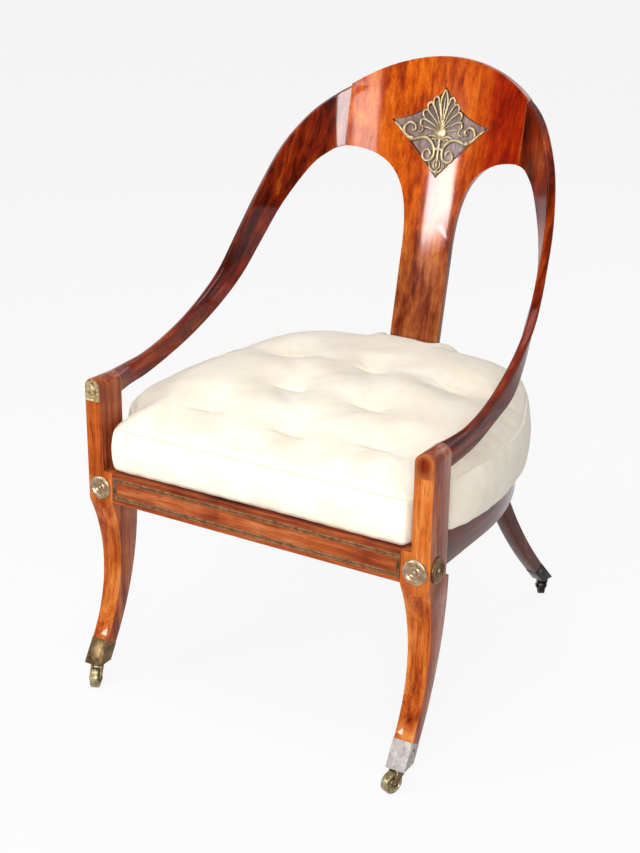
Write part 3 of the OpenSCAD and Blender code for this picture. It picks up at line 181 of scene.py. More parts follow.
# French polished rosewood and mahogany: clear orange ground, dark streaks a few mm wide,
# open pores, and a hard glossy film of polish over it
woodTones = {
    "orange": ["#641602", "#a43a04", "#c95a06", "#dc8026"],
    "worn": ["#461306", "#80341a", "#a65228", "#c47c4e"],
    "leg": ["#5c1c06", "#9c4010", "#c16626", "#d68a48"],
    "red": ["#1f0401", "#4d0f02", "#7b2204", "#ab4c16"],
    "heart": ["#420701", "#7c1502", "#9c2403", "#b8480e"],
    # foot: the darker tones under footTo, a darker figure with painted shade
    "foot": ["#240904", "#5a210b", "#8a4520", "#a8683a"],
    # deep: darker tones painted as shade on the pieces at the back and sides
    "deep": ["#200501", "#471003", "#621b05", "#7d3812"],
    "black": ["#120302", "#200704", "#2c0c06", "#3c1509"],
    "toneStops": (0.36, 0.45, 0.54, 0.66),
    "openPore": "#2a0c06",
    "rubbedEdge": "#d98a4c",
}
woodGrain = {
    # width across the grain in metres, and how many times longer the mark is along it
    "figure": (0.038, 11),
    "streak": (0.0055, 26),
    "pore": (0.0013, 14),
    # width and length in metres
    "drift": (0.06, 0.16),
    "mottle": (0.09, 0.035),
    "ripple": (0.05, 0.12),
    "shares": (0.55, 0.3, 0.15),      # of figure, streak and mottle in the tone
    "wander": (0.9, 0.9, 0.0),        # how far the drift carries the figure sideways
    "rubbedWidth": 0.0022,
}


def polishedWood(name, tones="orange", turn=(0, 0, 0), shift=(0, 0, 0), along=None, rubbed=0.35,
                 sides=None, redFrom=None, footTo=None, film=1.0):
    # Grain runs along the mapped Z; along names an attribute that follows a curved piece, sides the darker
    # tones painted as shade on the faces that don't face the front, redFrom where a red heart starts in X,
    # footTo the height under which the wood is painted darker, a darker figure with painted shade, film how
    # much of the polish is left
    material, tree = newMaterial(name)
    here = objectPlace(tree)
    place = addNode(tree, "Attribute", attribute_name=along).outputs["Vector"] if along else here
    grain = mapped(tree, place, Rotation=turn, Location=shift)

    def stretched(width, length):
        return mapped(tree, grain, Scale=(1 / width, 1 / width, 1 / length))

    def marks(kind):
        width, longer = woodGrain[kind]
        return stretched(width, width * longer)

    drift = noise(tree, stretched(*woodGrain["drift"]), 2.0).outputs["Color"]
    wander = vectorMaths(tree, "MULTIPLY", drift, woodGrain["wander"])[0]
    figurePlace = vectorMaths(tree, "ADD", marks("figure"), wander)[0]
    figure = noise(tree, figurePlace, 4.0, scale=1.6, roughness=0.55).outputs[0]
    streak = noise(tree, marks("streak"), 3.0, roughness=0.6).outputs[0]
    mottle = noise(tree, stretched(*woodGrain["mottle"]), 2.0).outputs[0]
    mixed = 0.0
    for mark, share in zip((mottle, streak, figure), reversed(woodGrain["shares"])):
        mixed = maths(tree, "MULTIPLY_ADD", mark, share, mixed)

    def stained(tones):
        return ramp(tree, mixed, list(zip(woodTones["toneStops"], woodTones[tones])))

    colour = stained(tones)
    if sides:
        # painted shade: faces that don't face the front take the darker tones named by sides
        facing = axisOf(tree, addNode(tree, "NewGeometry").outputs["Normal"], "Y")
        frontFreeOfPaintedShade = ramp(tree, maths(tree, "MULTIPLY", facing, -1.0), [(0.55, 0.0), (0.7, 1.0)])
        colour = blend(tree, frontFreeOfPaintedShade, stained(sides), colour)
    if redFrom is not None:
        across = maths(tree, "MULTIPLY_ADD", figure, 0.05, axisOf(tree, here, "X"))
        # spread out, so that the edge of the heart falls well inside the ramp
        spread = maths(tree, "MULTIPLY", across, 4.0)
        heart = ramp(tree, spread, [(redFrom * 4, 0.0), (redFrom * 4 + 0.16, 1.0)])
        colour = blend(tree, heart, colour, stained("heart"))
    if footTo is not None:
        # painted shade at the splat's foot, with a darker figure: the wood is darker under footTo
        ragged = maths(tree, "MULTIPLY_ADD", figure, 0.12, axisOf(tree, here, "Z"))
        foot = ramp(tree, ragged, [(footTo, 0.85), (footTo + 0.11, 0.0)])
        colour = blend(tree, foot, colour, stained("foot"))
    pore = ramp(tree, noise(tree, marks("pore"), 1.0).outputs[0], [(0.30, 1.0), (0.40, 0.0)])
    colour = blend(tree, maths(tree, "MULTIPLY", pore, 0.55), colour, linear(woodTones["openPore"]))
    worn = ramp(tree, edgeShare(tree, woodGrain["rubbedWidth"]), [(0.02, 0.0), (0.16, 1.0)])
    colour = blend(tree, maths(tree, "MULTIPLY", worn, rubbed), colour, linear(woodTones["rubbedEdge"]))
    height = maths(tree, "MULTIPLY_ADD", pore, -0.35, maths(tree, "MULTIPLY", streak, 0.12))
    ripple = noise(tree, stretched(*woodGrain["ripple"]), 1.0).outputs[0]
    return surface(material, {
        "Base Color": colour,
        "Roughness": ramp(tree, mixed, [(0.3, 0.42), (0.7, 0.3)]),
        "Specular IOR Level": 0.04,
        "Normal": relief(tree, height, 0.35, 0.0006),
        "Coat Weight": film,
        "Coat Roughness": 0.09,
        "Coat Normal": relief(tree, ripple, 0.12, 0.0015),
    })


# Lacquered cast brass dulled by age: clean on the high spots, brown in the hollows
def agedBrass(name, clean="#8f744c", aged="#4f3a20", hollow="#20140b", roughness=0.36, chasedMm=0.0,
              hollowMm=2.5, openShare=0.85):
    # chasedMm is the size of punched leaves and scrolls in an embossed plate, hollowMm how far dirt gathers
    # from a corner, openShare how open to the light a place has to be to stay free of it
    material, tree = newMaterial(name)
    place = objectPlace(tree)
    cloud = noise(tree, place, 5.0, scale=120.0, roughness=0.65).outputs[0]
    colour = ramp(tree, cloud, [(0.35, aged), (0.62, clean)])
    dirt = shelter(tree, hollowMm / 1000, [(openShare - 0.5, 1.0), (openShare, 0.0)])
    colour = blend(tree, dirt, colour, linear(hollow))
    bump = relief(tree, noise(tree, place, 2.0, scale=900.0).outputs[0], 0.2, 0.0004)
    if chasedMm:
        bend = noise(tree, place, 1.0, scale=160.0).outputs["Color"]
        curled = vectorMaths(tree, "MULTIPLY_ADD", bend, (0.006, 0.006, 0.006), place)[0]
        leaves = addNode(tree, "TexVoronoi", {"Vector": curled, "Scale": 1000 / chasedMm},
                         feature="SMOOTH_F1")
        raised = ramp(tree, leaves.outputs["Distance"], [(0.4, 1.0), (0.75, 0.0)])
        colour = blend(tree, raised, linear(hollow), colour)
        bump = relief(tree, raised, 0.9, 0.001, over=bump)
    rough = maths(tree, "MULTIPLY_ADD", cloud, 0.16, roughness - 0.08)
    rough = maths(tree, "MULTIPLY_ADD", dirt, 0.3, rough)
    return surface(material, {"Base Color": colour, "Metallic": 0.65, "Roughness": rough, "Normal": bump})


# Cream cotton sateen: a fine matt weave, drawn at 1.6 mm so that it still shows
clothTones = {
    "light": "#f6eedd",
    "shade": "#f0e5cf",
    "between": "#cfc3ab",
    # fold is the colour of the painted shade in the creases
    "fold": "#a8977c",
    "threadMm": 1.6,
}


def cottonCloth(name):
    material, tree = newMaterial(name)
    place = objectPlace(tree)
    pitch = math.tau / (clothTones["threadMm"] / 1000) / 20

    def threads(way):
        return addNode(tree, "TexWave", {"Vector": place, "Scale": pitch, "Distortion": 0.6, "Detail": 1.0},
                       bands_direction=way).outputs["Fac"]

    weave = maths(tree, "MULTIPLY", threads("X"), threads("Y"))
    slub = noise(tree, place, 4.0, scale=26.0).outputs[0]
    colour = ramp(tree, slub, [(0.3, clothTones["shade"]), (0.6, clothTones["light"])])
    colour = blend(tree, maths(tree, "MULTIPLY", weave, 0.08), colour, linear(clothTones["between"]))
    # painted shade: the cloth is darker where it is hidden in its creases and round the tufts
    fold = shelter(tree, 0.009, [(0.55, 0.6), (0.92, 0.0)])
    colour = blend(tree, fold, colour, linear(clothTones["fold"]))
    height = maths(tree, "MULTIPLY_ADD", weave, 0.5, maths(tree, "MULTIPLY", slub, 0.6))
    return surface(material, {
        "Base Color": colour,
        "Roughness": 0.9,
        "Specular IOR Level": 0.2,
        "Sheen Weight": 0.25,
        "Sheen Roughness": 0.5,
        "Normal": relief(tree, height, 0.25, 0.0006),
    })


def fineGrain(tree, scale, detail, tones, strength=0.3):
    # lines drawn out along one axis, as a colour and as relief
    lines = noise(tree, mapped(tree, objectPlace(tree), Scale=scale), detail).outputs[0]
    return ramp(tree, lines, list(zip((0.3, 0.5, 0.7), tones))), relief(tree, lines, strength, 0.0005)


# Split rattan cane: shiny straw skin with fine lengthwise lines
def splitCane(name):
    material, tree = newMaterial(name)
    colour, bump = fineGrain(tree, (500, 40, 40), 3.0, ("#a9803f", "#c9a462", "#dcbf85"))
    return surface(material, {"Base Color": colour, "Roughness": 0.42, "Normal": bump})


# Beech, planed and left raw: pale, matt, with a close straight grain
def rawBeech(name):
    material, tree = newMaterial(name)
    colour, bump = fineGrain(tree, (30, 260, 260), 4.0, ("#8a6238", "#a67c4c", "#ba9463"))
    return surface(material, {"Base Color": colour, "Roughness": 0.7, "Normal": bump})


# Drawn steel of screws and axles: grey, turned, lightly rusted
def turnedSteel(name):
    material, tree = newMaterial(name)
    spots = noise(tree, objectPlace(tree), 4.0, scale=400.0).outputs[0]
    colour = ramp(tree, spots, [(0.35, "#4a3a30"), (0.55, "#6d6a66")])
    rough = ramp(tree, spots, [(0.35, 0.55), (0.6, 0.32)])
    return surface(material, {"Base Color": colour, "Metallic": 1.0, "Roughness": rough})


# Pearwood panel behind the ornament, stained a lilac brown and left satin
panelTones = {
    "grain": ("#5a403c", "#84655f", "#a4867f"),
    # colour of the painted shade by the ornament and the border
    "paintedOrnamentShade": "#23120c",
    # colour of the painted shadow between the ribs of the fan
    "paintedFanShadow": "#42261a",
    "fanPlace": (0, 0, -27.1),       # centre and spread of the fan, in its own half widths
    "fanSpread": (29.0, 0, 34.8),
}


def stainedPanel(name):
    material, tree = newMaterial(name)
    colour, bump = fineGrain(tree, (260, 260, 24), 4.0, panelTones["grain"], strength=0.4)
    # painted shade: the panel is darker where the ornament and the border stand close over it
    paintedOrnamentShade = shelter(tree, 0.007, [(0.5, 1.0), (0.9, 0.0)])
    colour = blend(tree, paintedOrnamentShade, colour, linear(panelTones["paintedOrnamentShade"]))
    # painted shadow between the ribs of the fan
    fan = mapped(tree, objectPlace(tree), Location=panelTones["fanPlace"], Scale=panelTones["fanSpread"])
    away = vectorMaths(tree, "LENGTH", fan)["Value"]
    paintedFanShadow = ramp(tree, maths(tree, "MULTIPLY", away, 0.5), [(0.38, 0.8), (0.54, 0.0)])
    colour = blend(tree, paintedFanShadow, colour, linear(panelTones["paintedFanShadow"]))
    return surface(material, {
        "Base Color": colour,
        "Roughness": 0.45,
        "Coat Weight": 0.3,
        "Coat Roughness": 0.25,
        "Normal": bump,
    })


alongX = (0, math.radians(90), 0)
alongY = (math.radians(90), 0, 0)
alongRearLeg = (math.radians(-20), 0, 0)
woods = {
    # footTo gives the splat's foot painted shade with a darker figure
    "crestWood": dict(tones="orange", shift=(0.3, 0.1, 0.0), redFrom=0.075, footTo=0.61, film=0.65),
    "armWood": dict(tones="red", shift=(1.7, 0.4, 0.2), along="grainRun", rubbed=0.5, film=0.65),
    "rightArmWood": dict(tones="red", shift=(1.7, 0.4, 0.2), along="grainRun", rubbed=0.5, film=0.35),
    # painted shade: the legs' faces that don't face the front take the darker worn tones
    "legWood": dict(tones="leg", shift=(0.3, 1.4, 1.1), sides="worn", rubbed=0.4, film=0.5),
    # painted shade: rearLegWood, sideRailWood and backRailWood take the darker deep tones, as pieces that
    # stand in shade
    "rearLegWood": dict(tones="deep", turn=alongRearLeg, shift=(0.1, 1.1, 0.6), film=0.4),
    "frontRailWood": dict(tones="worn", turn=alongX, shift=(2.3, 0.7, 0.1), rubbed=0.4, film=0.5),
    "sideRailWood": dict(tones="deep", turn=alongY, shift=(1.2, 0.2, 0.5), film=0.6),
    "backRailWood": dict(tones="deep", turn=alongX, shift=(0.5, 1.9, 0.8)),
    "borderWood": dict(tones="black", shift=(0.2, 0.2, 0.9), rubbed=0.2, film=0.4),
    "tabletWood": dict(tones="red", shift=(0.4, 0.3, 0.1), rubbed=0.6, film=0.5),
}
brasses = {
    "brass": {},
    "ornamentBrass": dict(clean="#e6d3a8", aged="#ab9068", hollow="#26140a"),
    "rosetteBrass": dict(clean="#dcc0a0", aged="#a98762", hollow="#24140a", hollowMm=1.6, openShare=1.0),
    # painted shade: the side rosettes are darker than the front ones because they face sideways
    "sideRosetteBrass": dict(clean="#94724a", aged="#553a22", hollow="#1c0f07", hollowMm=1.6, openShare=1.0),
    "chasedBrass": dict(clean="#f2dfb0", aged="#d2b47c", hollow="#8a683c", chasedMm=3.2),
    "beadingBrass": dict(clean="#ac7c54", aged="#71482a", hollow="#2c1408", roughness=0.45),
    # near-black brass of the rear castors
    "nearBlackBrass": dict(clean="#2a2420", aged="#120f0d", hollow="#060505", roughness=0.3),
    "paleBrass": dict(clean="#cbc5c2", aged="#a29893", hollow="#3a2c22", roughness=0.55),
    "wheelBrass": dict(clean="#c8bb93", aged="#8d7a4e"),
}
materials = {name: polishedWood(name, **look) for name, look in woods.items()}
materials.update({name: agedBrass(name, **look) for name, look in brasses.items()})
materials.update({
    "cotton": cottonCloth("cotton"),
    "cane": splitCane("cane"),
    "beech": rawBeech("beech"),
    "steel": turnedSteel("steel"),
    "panel": stainedPanel("panel"),
})
print("materials made:", len(materials))


# Pieces carried over from the frame: doubles merged, edges eased, faces smoothed

carried = {
    "merge": 0.00001,
    "flatDegrees": 0.4,      # facets that differ by less are one face
    "softDegrees": 32,       # edges that turn by more stay edges
    "sweptDegrees": 55,      # the same on the arms, whose roundings have few facets
    "smallEdgeMm": 0.3,
}


def selectOnly(piece):
    bpy.ops.object.select_all(action="DESELECT")
    piece.select_set(True)
    bpy.context.view_layer.objects.active = piece


def weighEdges(mesh, softAngle, box):
    shape = bmesh.new()
    shape.from_mesh(mesh)
    weights = []
    for edge in shape.edges:
        middle = (edge.verts[0].co + edge.verts[1].co) / 2
        within = all(low < m < high for low, m, high in zip(box[0], middle, box[1]))
        sharp = len(edge.link_faces) == 2 and edge.calc_face_angle() > softAngle
        weights.append(1.0 if sharp and not within else 0.0)
    shape.free()
    mesh.attributes.new("bevel_weight_edge", "FLOAT", "EDGE").data.foreach_set("value", weights)


def finishedCopy(node, material, edgeMm=0.0, softDegrees=carried["softDegrees"], keepSharp=None):
    # keepSharp is a box, low and high corners, whose edges stay as they were cut
    mesh = frame["nodes"][node].data.copy()
    mesh.materials.clear()
    mesh.materials.append(materials[material])
    piece = bpy.data.objects.new(node + "_finished", mesh)
    bpy.context.scene.collection.objects.link(piece)
    selectOnly(piece)
    if mesh.has_custom_normals:
        bpy.ops.mesh.customdata_custom_splitnormals_clear()
    bpy.ops.object.mode_set(mode="EDIT")
    bpy.ops.mesh.select_all(action="SELECT")
    bpy.ops.mesh.remove_doubles(threshold=carried["merge"])
    bpy.ops.mesh.dissolve_limited(angle_limit=math.radians(carried["flatDegrees"]))
    bpy.ops.object.mode_set(mode="OBJECT")
    if edgeMm:
        bpy.ops.object.modifier_add(type="BEVEL")
        bevel = piece.modifiers[-1]
        bevel.width, bevel.segments = edgeMm / 1000, 2
        bevel.limit_method, bevel.angle_limit = "ANGLE", math.radians(softDegrees)
        if keepSharp:
            bevel.limit_method = "WEIGHT"
            weighEdges(mesh, math.radians(softDegrees), keepSharp)
        bevel.miter_outer = "MITER_ARC"
        bpy.ops.object.modifier_apply(modifier=bevel.name)
    bpy.ops.object.shade_smooth_by_angle(angle=math.radians(softDegrees))
    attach(piece, bodyOfNode[node])
    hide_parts(node)
    return piece


def weighNormals(piece):
    # the broad faces decide the shading, and only the rounded edges turn it
    selectOnly(piece)
    bpy.ops.object.modifier_add(type="WEIGHTED_NORMAL")
    piece.modifiers[-1].keep_sharp = True
    bpy.ops.object.modifier_apply(modifier=piece.modifiers[-1].name)


finishes = {
    # node: material, edge rounding in mm
    "crest_splat": ("crestWood", 1.0),
    "left_arm": ("armWood", 0.0),
    "right_arm": ("rightArmWood", 0.0),
    "front_left_leg": ("legWood", 1.2),
    "front_right_leg": ("legWood", 1.2),
    "rear_left_leg": ("rearLegWood", 1.0),
    "rear_right_leg": ("rearLegWood", 1.0),
    "front_rail": ("frontRailWood", 0.6),
    "left_side_rail": ("sideRailWood", 1.0),
    "right_side_rail": ("sideRailWood", 1.0),
    "back_rail": ("backRailWood", 1.0),
    "plaque_border": ("borderWood", 0.3),
    "right_post_tablet": ("tabletWood", 0.4),
    "left_post_tablet": ("chasedBrass", 0.3),
    "rail_beading": ("beadingBrass", 0.25),
    "front_left_cup": ("brass", 0.5),
    "front_right_cup": ("paleBrass", 0.5),
    "rear_left_cup": ("nearBlackBrass", 0.5),
    "rear_right_cup": ("nearBlackBrass", 0.5),
}
recess = ((-0.083, 0.1, 0.682), (0.083, 0.3, 0.819))      # round the ornament's bed in the crest
finished = {}
for node, (material, edgeMm) in finishes.items():
    swept = node.endswith("_arm")
    finished[node] = finishedCopy(node, material, edgeMm,
                                  softDegrees=carried["sweptDegrees" if swept else "softDegrees"],
                                  keepSharp=recess if node == "crest_splat" else None)
    if swept:
        weighNormals(finished[node])
for corner in ("front_left", "front_right", "rear_left", "rear_right"):
    dark = corner.startswith("rear")
    for part, material in (("horn", "nearBlackBrass" if dark else "brass"),
                           ("wheel", "nearBlackBrass" if dark else "wheelBrass"),
                           ("axle", "steel"), ("pintle", "steel")):
        node = corner + "_" + part
        finished[node] = finishedCopy(node, material, carried["smallEdgeMm"])
for node in ("front_left_rosette", "front_right_rosette", "left_side_rosette", "right_side_rosette",
             "rosette_nails"):
    finished[node] = finishedCopy(node, "sideRosetteBrass" if "side" in node else "rosetteBrass")
# these keep the CAD's own mesh and only get their material
plain = {"arm_dowels": "beech", "front_left_block": "beech", "front_right_block": "beech",
         "rear_left_block": "beech", "rear_right_block": "beech", "block_screws": "steel",
         "cup_screws": "steel", "cane_panel": "cane", "cane_spline": "cane", "plaque_ground": "panel"}
for node, material in plain.items():
    frame["nodes"][node].data.materials.clear()
    frame["nodes"][node].data.materials.append(materials[material])
print("frame pieces finished:", len(finished))


# The hollow of the back is a cone; the board's shading follows it exactly, so that gloss runs smoothly
hollow = {
    "axisY": -0.098822,
    "radius": 0.275,
    "atHeight": 0.446,
    "slope": 0.21,
    "steepest": 0.9,                         # level share of a normal, under which a face is an edge
    "tolerance": math.radians(6),
    "sliverTolerance": math.radians(50),     # of the thin faces round the recess, whose own normals wander
    "sliverAway": 0.0003,
}


def hollowRadius(z):
    return hollow["radius"] + hollow["slope"] * (z - hollow["atHeight"])


def onHollow(x, z, proud=0.0):
    # the point of the board's face at x and z, brought forward by proud
    radius = hollowRadius(z) - proud
    return Vector((x, hollow["axisY"] + math.sqrt(radius * radius - x * x), z))


def followHollow(piece):
    mesh = piece.data
    low, high = recess
    steep = hollow["slope"] / math.hypot(1, hollow["slope"])
    normals = [(0.0, 0.0, 0.0)] * len(mesh.loops)
    for face in mesh.polygons:
        flat = Vector((face.normal.x, face.normal.y))
        ray = Vector((face.center.x, face.center.y - hollow["axisY"]))
        if flat.length < hollow["steepest"]:
            continue
        turned = flat.angle(ray)
        inward = turned > math.pi / 2
        spots = [mesh.vertices[i].co for i in face.vertices]
        away = max(abs(math.hypot(s.x, s.y - hollow["axisY"]) - hollowRadius(s.z)) for s in spots)
        near = any(low[0] < s.x < high[0] and low[2] < s.z < high[2] for s in spots)
        sliver = inward and near and away < hollow["sliverAway"]
        if min(turned, math.pi - turned) > hollow["sliverTolerance" if sliver else "tolerance"]:
            continue
        length = -flat.length if inward else flat.length
        for corner in face.loop_indices:
            spot = mesh.vertices[mesh.loops[corner].vertex_index].co
            ray = Vector((spot.x, spot.y - hollow["axisY"])).normalized() * length
            normals[corner] = (ray.x, ray.y, steep if sliver else face.normal.z)
    mesh.normals_split_custom_set(normals)


followHollow(finished["crest_splat"])
print("crest shading follows the hollow")


# Palmette: bent brass rod and a bud, laid on the hollow
palmette = {
    "lift": 0.0006,
    "sunk": 0.55,             # height of a rod's middle over the ground, in its own half thicknesses
    "stout": 1.2,             # thickness of the rods against the half thicknesses below
    "budHalfWidth": 0.0108,
    "budMiddle": 0.7535,
    "budHalfHeight": 0.0145,
    "budProud": 0.0052,
    "budTaper": (0.66, 2.6),
    "budRidge": (0.18, 5),    # how much it stands out, and how narrow it is
}
palmetteRuns = [
    # how many sides a run is laid on, and its points: x, height and half thickness in mm
    # stem, ring and outer tail
    (2, [(13, 719, 1.3), (15, 724, 1.4), (20, 725, 1.4), (24.5, 720, 1.5), (23.5, 712, 1.6), (16, 709, 1.6),
         (9, 713, 1.7), (6.5, 721, 1.8), (8.5, 730, 1.9), (15, 738, 2.0), (24, 742, 2.0), (33, 741, 1.9),
         (42, 738.5, 1.8), (50, 740.5, 2.1), (58, 746.5, 1.8), (66, 754, 1.6), (75, 761.5, 0.7)]),
    # knob on the stem
    (2, [(41, 738.5, 1.4), (43.5, 739, 3.0), (47, 739.5, 3.2), (50, 741, 1.6)]),
    (2, [(51, 741, 1.4), (53, 742.5, 2.6), (55, 744.5, 1.2)]),
    # upper scroll
    (2, [(56, 745, 1.0), (59, 752, 1.5), (56.5, 759, 1.7), (50, 762.5, 1.7), (44, 760, 1.6), (41, 755.5, 1.5),
         (42.5, 751.5, 1.6), (46, 751.5, 1.8)]),
    (2, [(39, 751, 0.6), (34.5, 749, 1.2), (30, 752.5, 1.3), (31, 757.5, 1.0)]),
    # leaf beside the bud
    (2, [(4, 741, 1.4), (11, 745.5, 1.6), (17, 745, 1.3), (22.5, 741.5, 0.6)]),
    (2, [(6, 739.5, 1.0), (12, 741, 1.2), (17, 738.5, 0.5)]),
    # lobes of the fan, each a rib that hooks over at its tip
    (2, [(1.2, 763, 0.7), (4.5, 780, 0.95), (8.5, 795, 1.25), (11.5, 801.5, 1.5), (15.5, 801, 1.5),
         (17.5, 796, 1.3), (16.5, 790, 0.8)]),
    (2, [(2.6, 761.5, 0.7), (9, 776, 0.95), (16, 788, 1.25), (20.5, 793, 1.5), (25, 791.5, 1.5),
         (26, 786, 1.3), (24, 781, 0.8)]),
    (2, [(4, 759.5, 0.7), (13, 770, 0.95), (22.5, 778.5, 1.25), (27, 782, 1.5), (31.5, 779.5, 1.5),
         (31.6, 774, 1.3), (28.6, 770, 0.8)]),
    (2, [(5.5, 757, 0.7), (15, 762, 0.95), (25, 767, 1.25), (30.5, 768.5, 1.5), (34.5, 765, 1.5),
         (33.5, 759.5, 1.4), (29, 757, 0.9)]),
    (2, [(7.5, 753.5, 0.7), (15, 754.5, 0.9), (23, 756.5, 1.0), (28, 756.8, 0.8)]),
    # middle leaf: outline and vein
    (2, [(0.4, 762, 0.7), (3, 778, 0.9), (5.6, 792, 1.2), (4.6, 802, 1.4), (0.6, 812.5, 1.3)]),
    (1, [(0, 766, 0.6), (0.4, 785, 0.8), (0.6, 800, 0.6)]),
    # upright, band and tail
    (1, [(0, 742, 2.0), (0, 732, 1.7), (0, 722, 1.7), (0, 712, 1.5), (0, 703, 2.4), (0, 699, 0.8)]),
    (1, [(-8.5, 726.5, 1.7), (0, 726.8, 1.9), (8.5, 726.5, 1.7)]),
    (2, [(12, 707, 0.6), (11.5, 701, 1.2), (7, 695.5, 1.5), (1, 692.5, 1.3)]),
    (2, [(1.5, 712, 1.0), (5, 706, 1.2), (4.2, 700.5, 1.2), (0.5, 698.5, 0.9)]),
    (1, [(3.5, 697.5, 0.8), (-0.5, 695, 1.5), (0, 689.8, 1.0)]),
]


def layPalmette():
    bpy.ops.object.select_all(action="DESELECT")
    bpy.ops.curve.primitive_bezier_curve_add(location=(0, 0, 0))
    rods = bpy.context.object
    rods.name = "palmette"
    data = rods.data
    data.splines.clear()
    data.dimensions, data.bevel_mode = "3D", "ROUND"
    data.bevel_depth, data.use_fill_caps = 0.001, True
    data.bevel_resolution, data.resolution_u = 2, 5
    for sides, run in palmetteRuns:
        for side in (1, -1)[:sides]:
            spline = data.splines.new("BEZIER")
            spline.bezier_points.add(len(run) - 1)
            for point, (x, z, half) in zip(spline.bezier_points, run):
                proud = half / 1000 * palmette["sunk"] + palmette["lift"]
                point.co = onHollow(side * x / 1000, z / 1000, proud)
                point.handle_left_type = point.handle_right_type = "AUTO"
                point.radius = half * palmette["stout"]
    bpy.ops.object.convert(target="MESH")
    rods = bpy.context.object
    # Bud: a pointed ball, ridged down its middle
    bpy.ops.object.select_all(action="DESELECT")
    bpy.ops.mesh.primitive_uv_sphere_add(segments=24, ring_count=16, radius=1.0)
    bud = bpy.context.object
    taper, power = palmette["budTaper"]
    stands, narrow = palmette["budRidge"]
    for vertex in bud.data.vertices:
        x, y, z = vertex.co
        slim = 1.0 - taper * (0.5 + 0.5 * z) ** power
        ridge = 1.0 + stands * max(0.0, 1 - abs(x) * narrow)
        height = palmette["budMiddle"] + z * palmette["budHalfHeight"]
        spot = onHollow(x * slim * palmette["budHalfWidth"], height, palmette["lift"])
        vertex.co = spot + Vector((0, y * slim * ridge * palmette["budProud"], 0))
    bpy.ops.object.select_all(action="DESELECT")
    bud.select_set(True)
    rods.select_set(True)
    bpy.context.view_layer.objects.active = rods
    bpy.ops.object.join()
    bpy.ops.object.mode_set(mode="EDIT")
    bpy.ops.mesh.select_all(action="SELECT")
    bpy.ops.mesh.remove_doubles(threshold=0.000005)
    bpy.ops.mesh.normals_make_consistent(inside=False)
    bpy.ops.object.mode_set(mode="OBJECT")
    bpy.ops.object.shade_smooth_by_angle(angle=math.radians(50))
    rods.data.materials.clear()
    rods.data.materials.append(materials["ornamentBrass"])
    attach(rods, "frame")
    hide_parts("plaque_ornament")


layPalmette()
print("palmette laid")


# Arms: the grain follows the sweep, as distance along a centre line and away from it
armGrain = {
    # places along the sweep, from the front post to the crest, in metres
    "run": [(-0.285, 0.4445), (-0.20, 0.447), (-0.10, 0.462), (-0.02, 0.492), (0.05, 0.54),
            (0.11, 0.60), (0.155, 0.665), (0.19, 0.735), (0.215, 0.80)],
}


def layGrain(piece):
    run = [Vector(p) for p in armGrain["run"]]
    lengths = [0.0]
    for a, b in zip(run, run[1:]):
        lengths.append(lengths[-1] + (b - a).length)
    values = []
    for vertex in piece.data.vertices:
        here = Vector((vertex.co.y, vertex.co.z))
        best = None
        for i, (a, b) in enumerate(zip(run, run[1:])):
            step = b - a
            share = (here - a).dot(step) / step.length_squared
            held = min(1.0, max(0.0, share)) if 0 < i < len(run) - 2 else share
            off = (here - a - step * held)
            if best is None or off.length < best[0]:
                side = step.x * (here - a).y - step.y * (here - a).x
                best = (off.length, lengths[i] + held * step.length, math.copysign(off.length, side))
        values += [vertex.co.x, best[2], best[1]]
    layer = piece.data.attributes.new("grainRun", "FLOAT_VECTOR", "POINT")
    layer.data.foreach_set("vector", values)


for node in ("left_arm", "right_arm"):
    layGrain(finished[node])
print("arm grain laid")


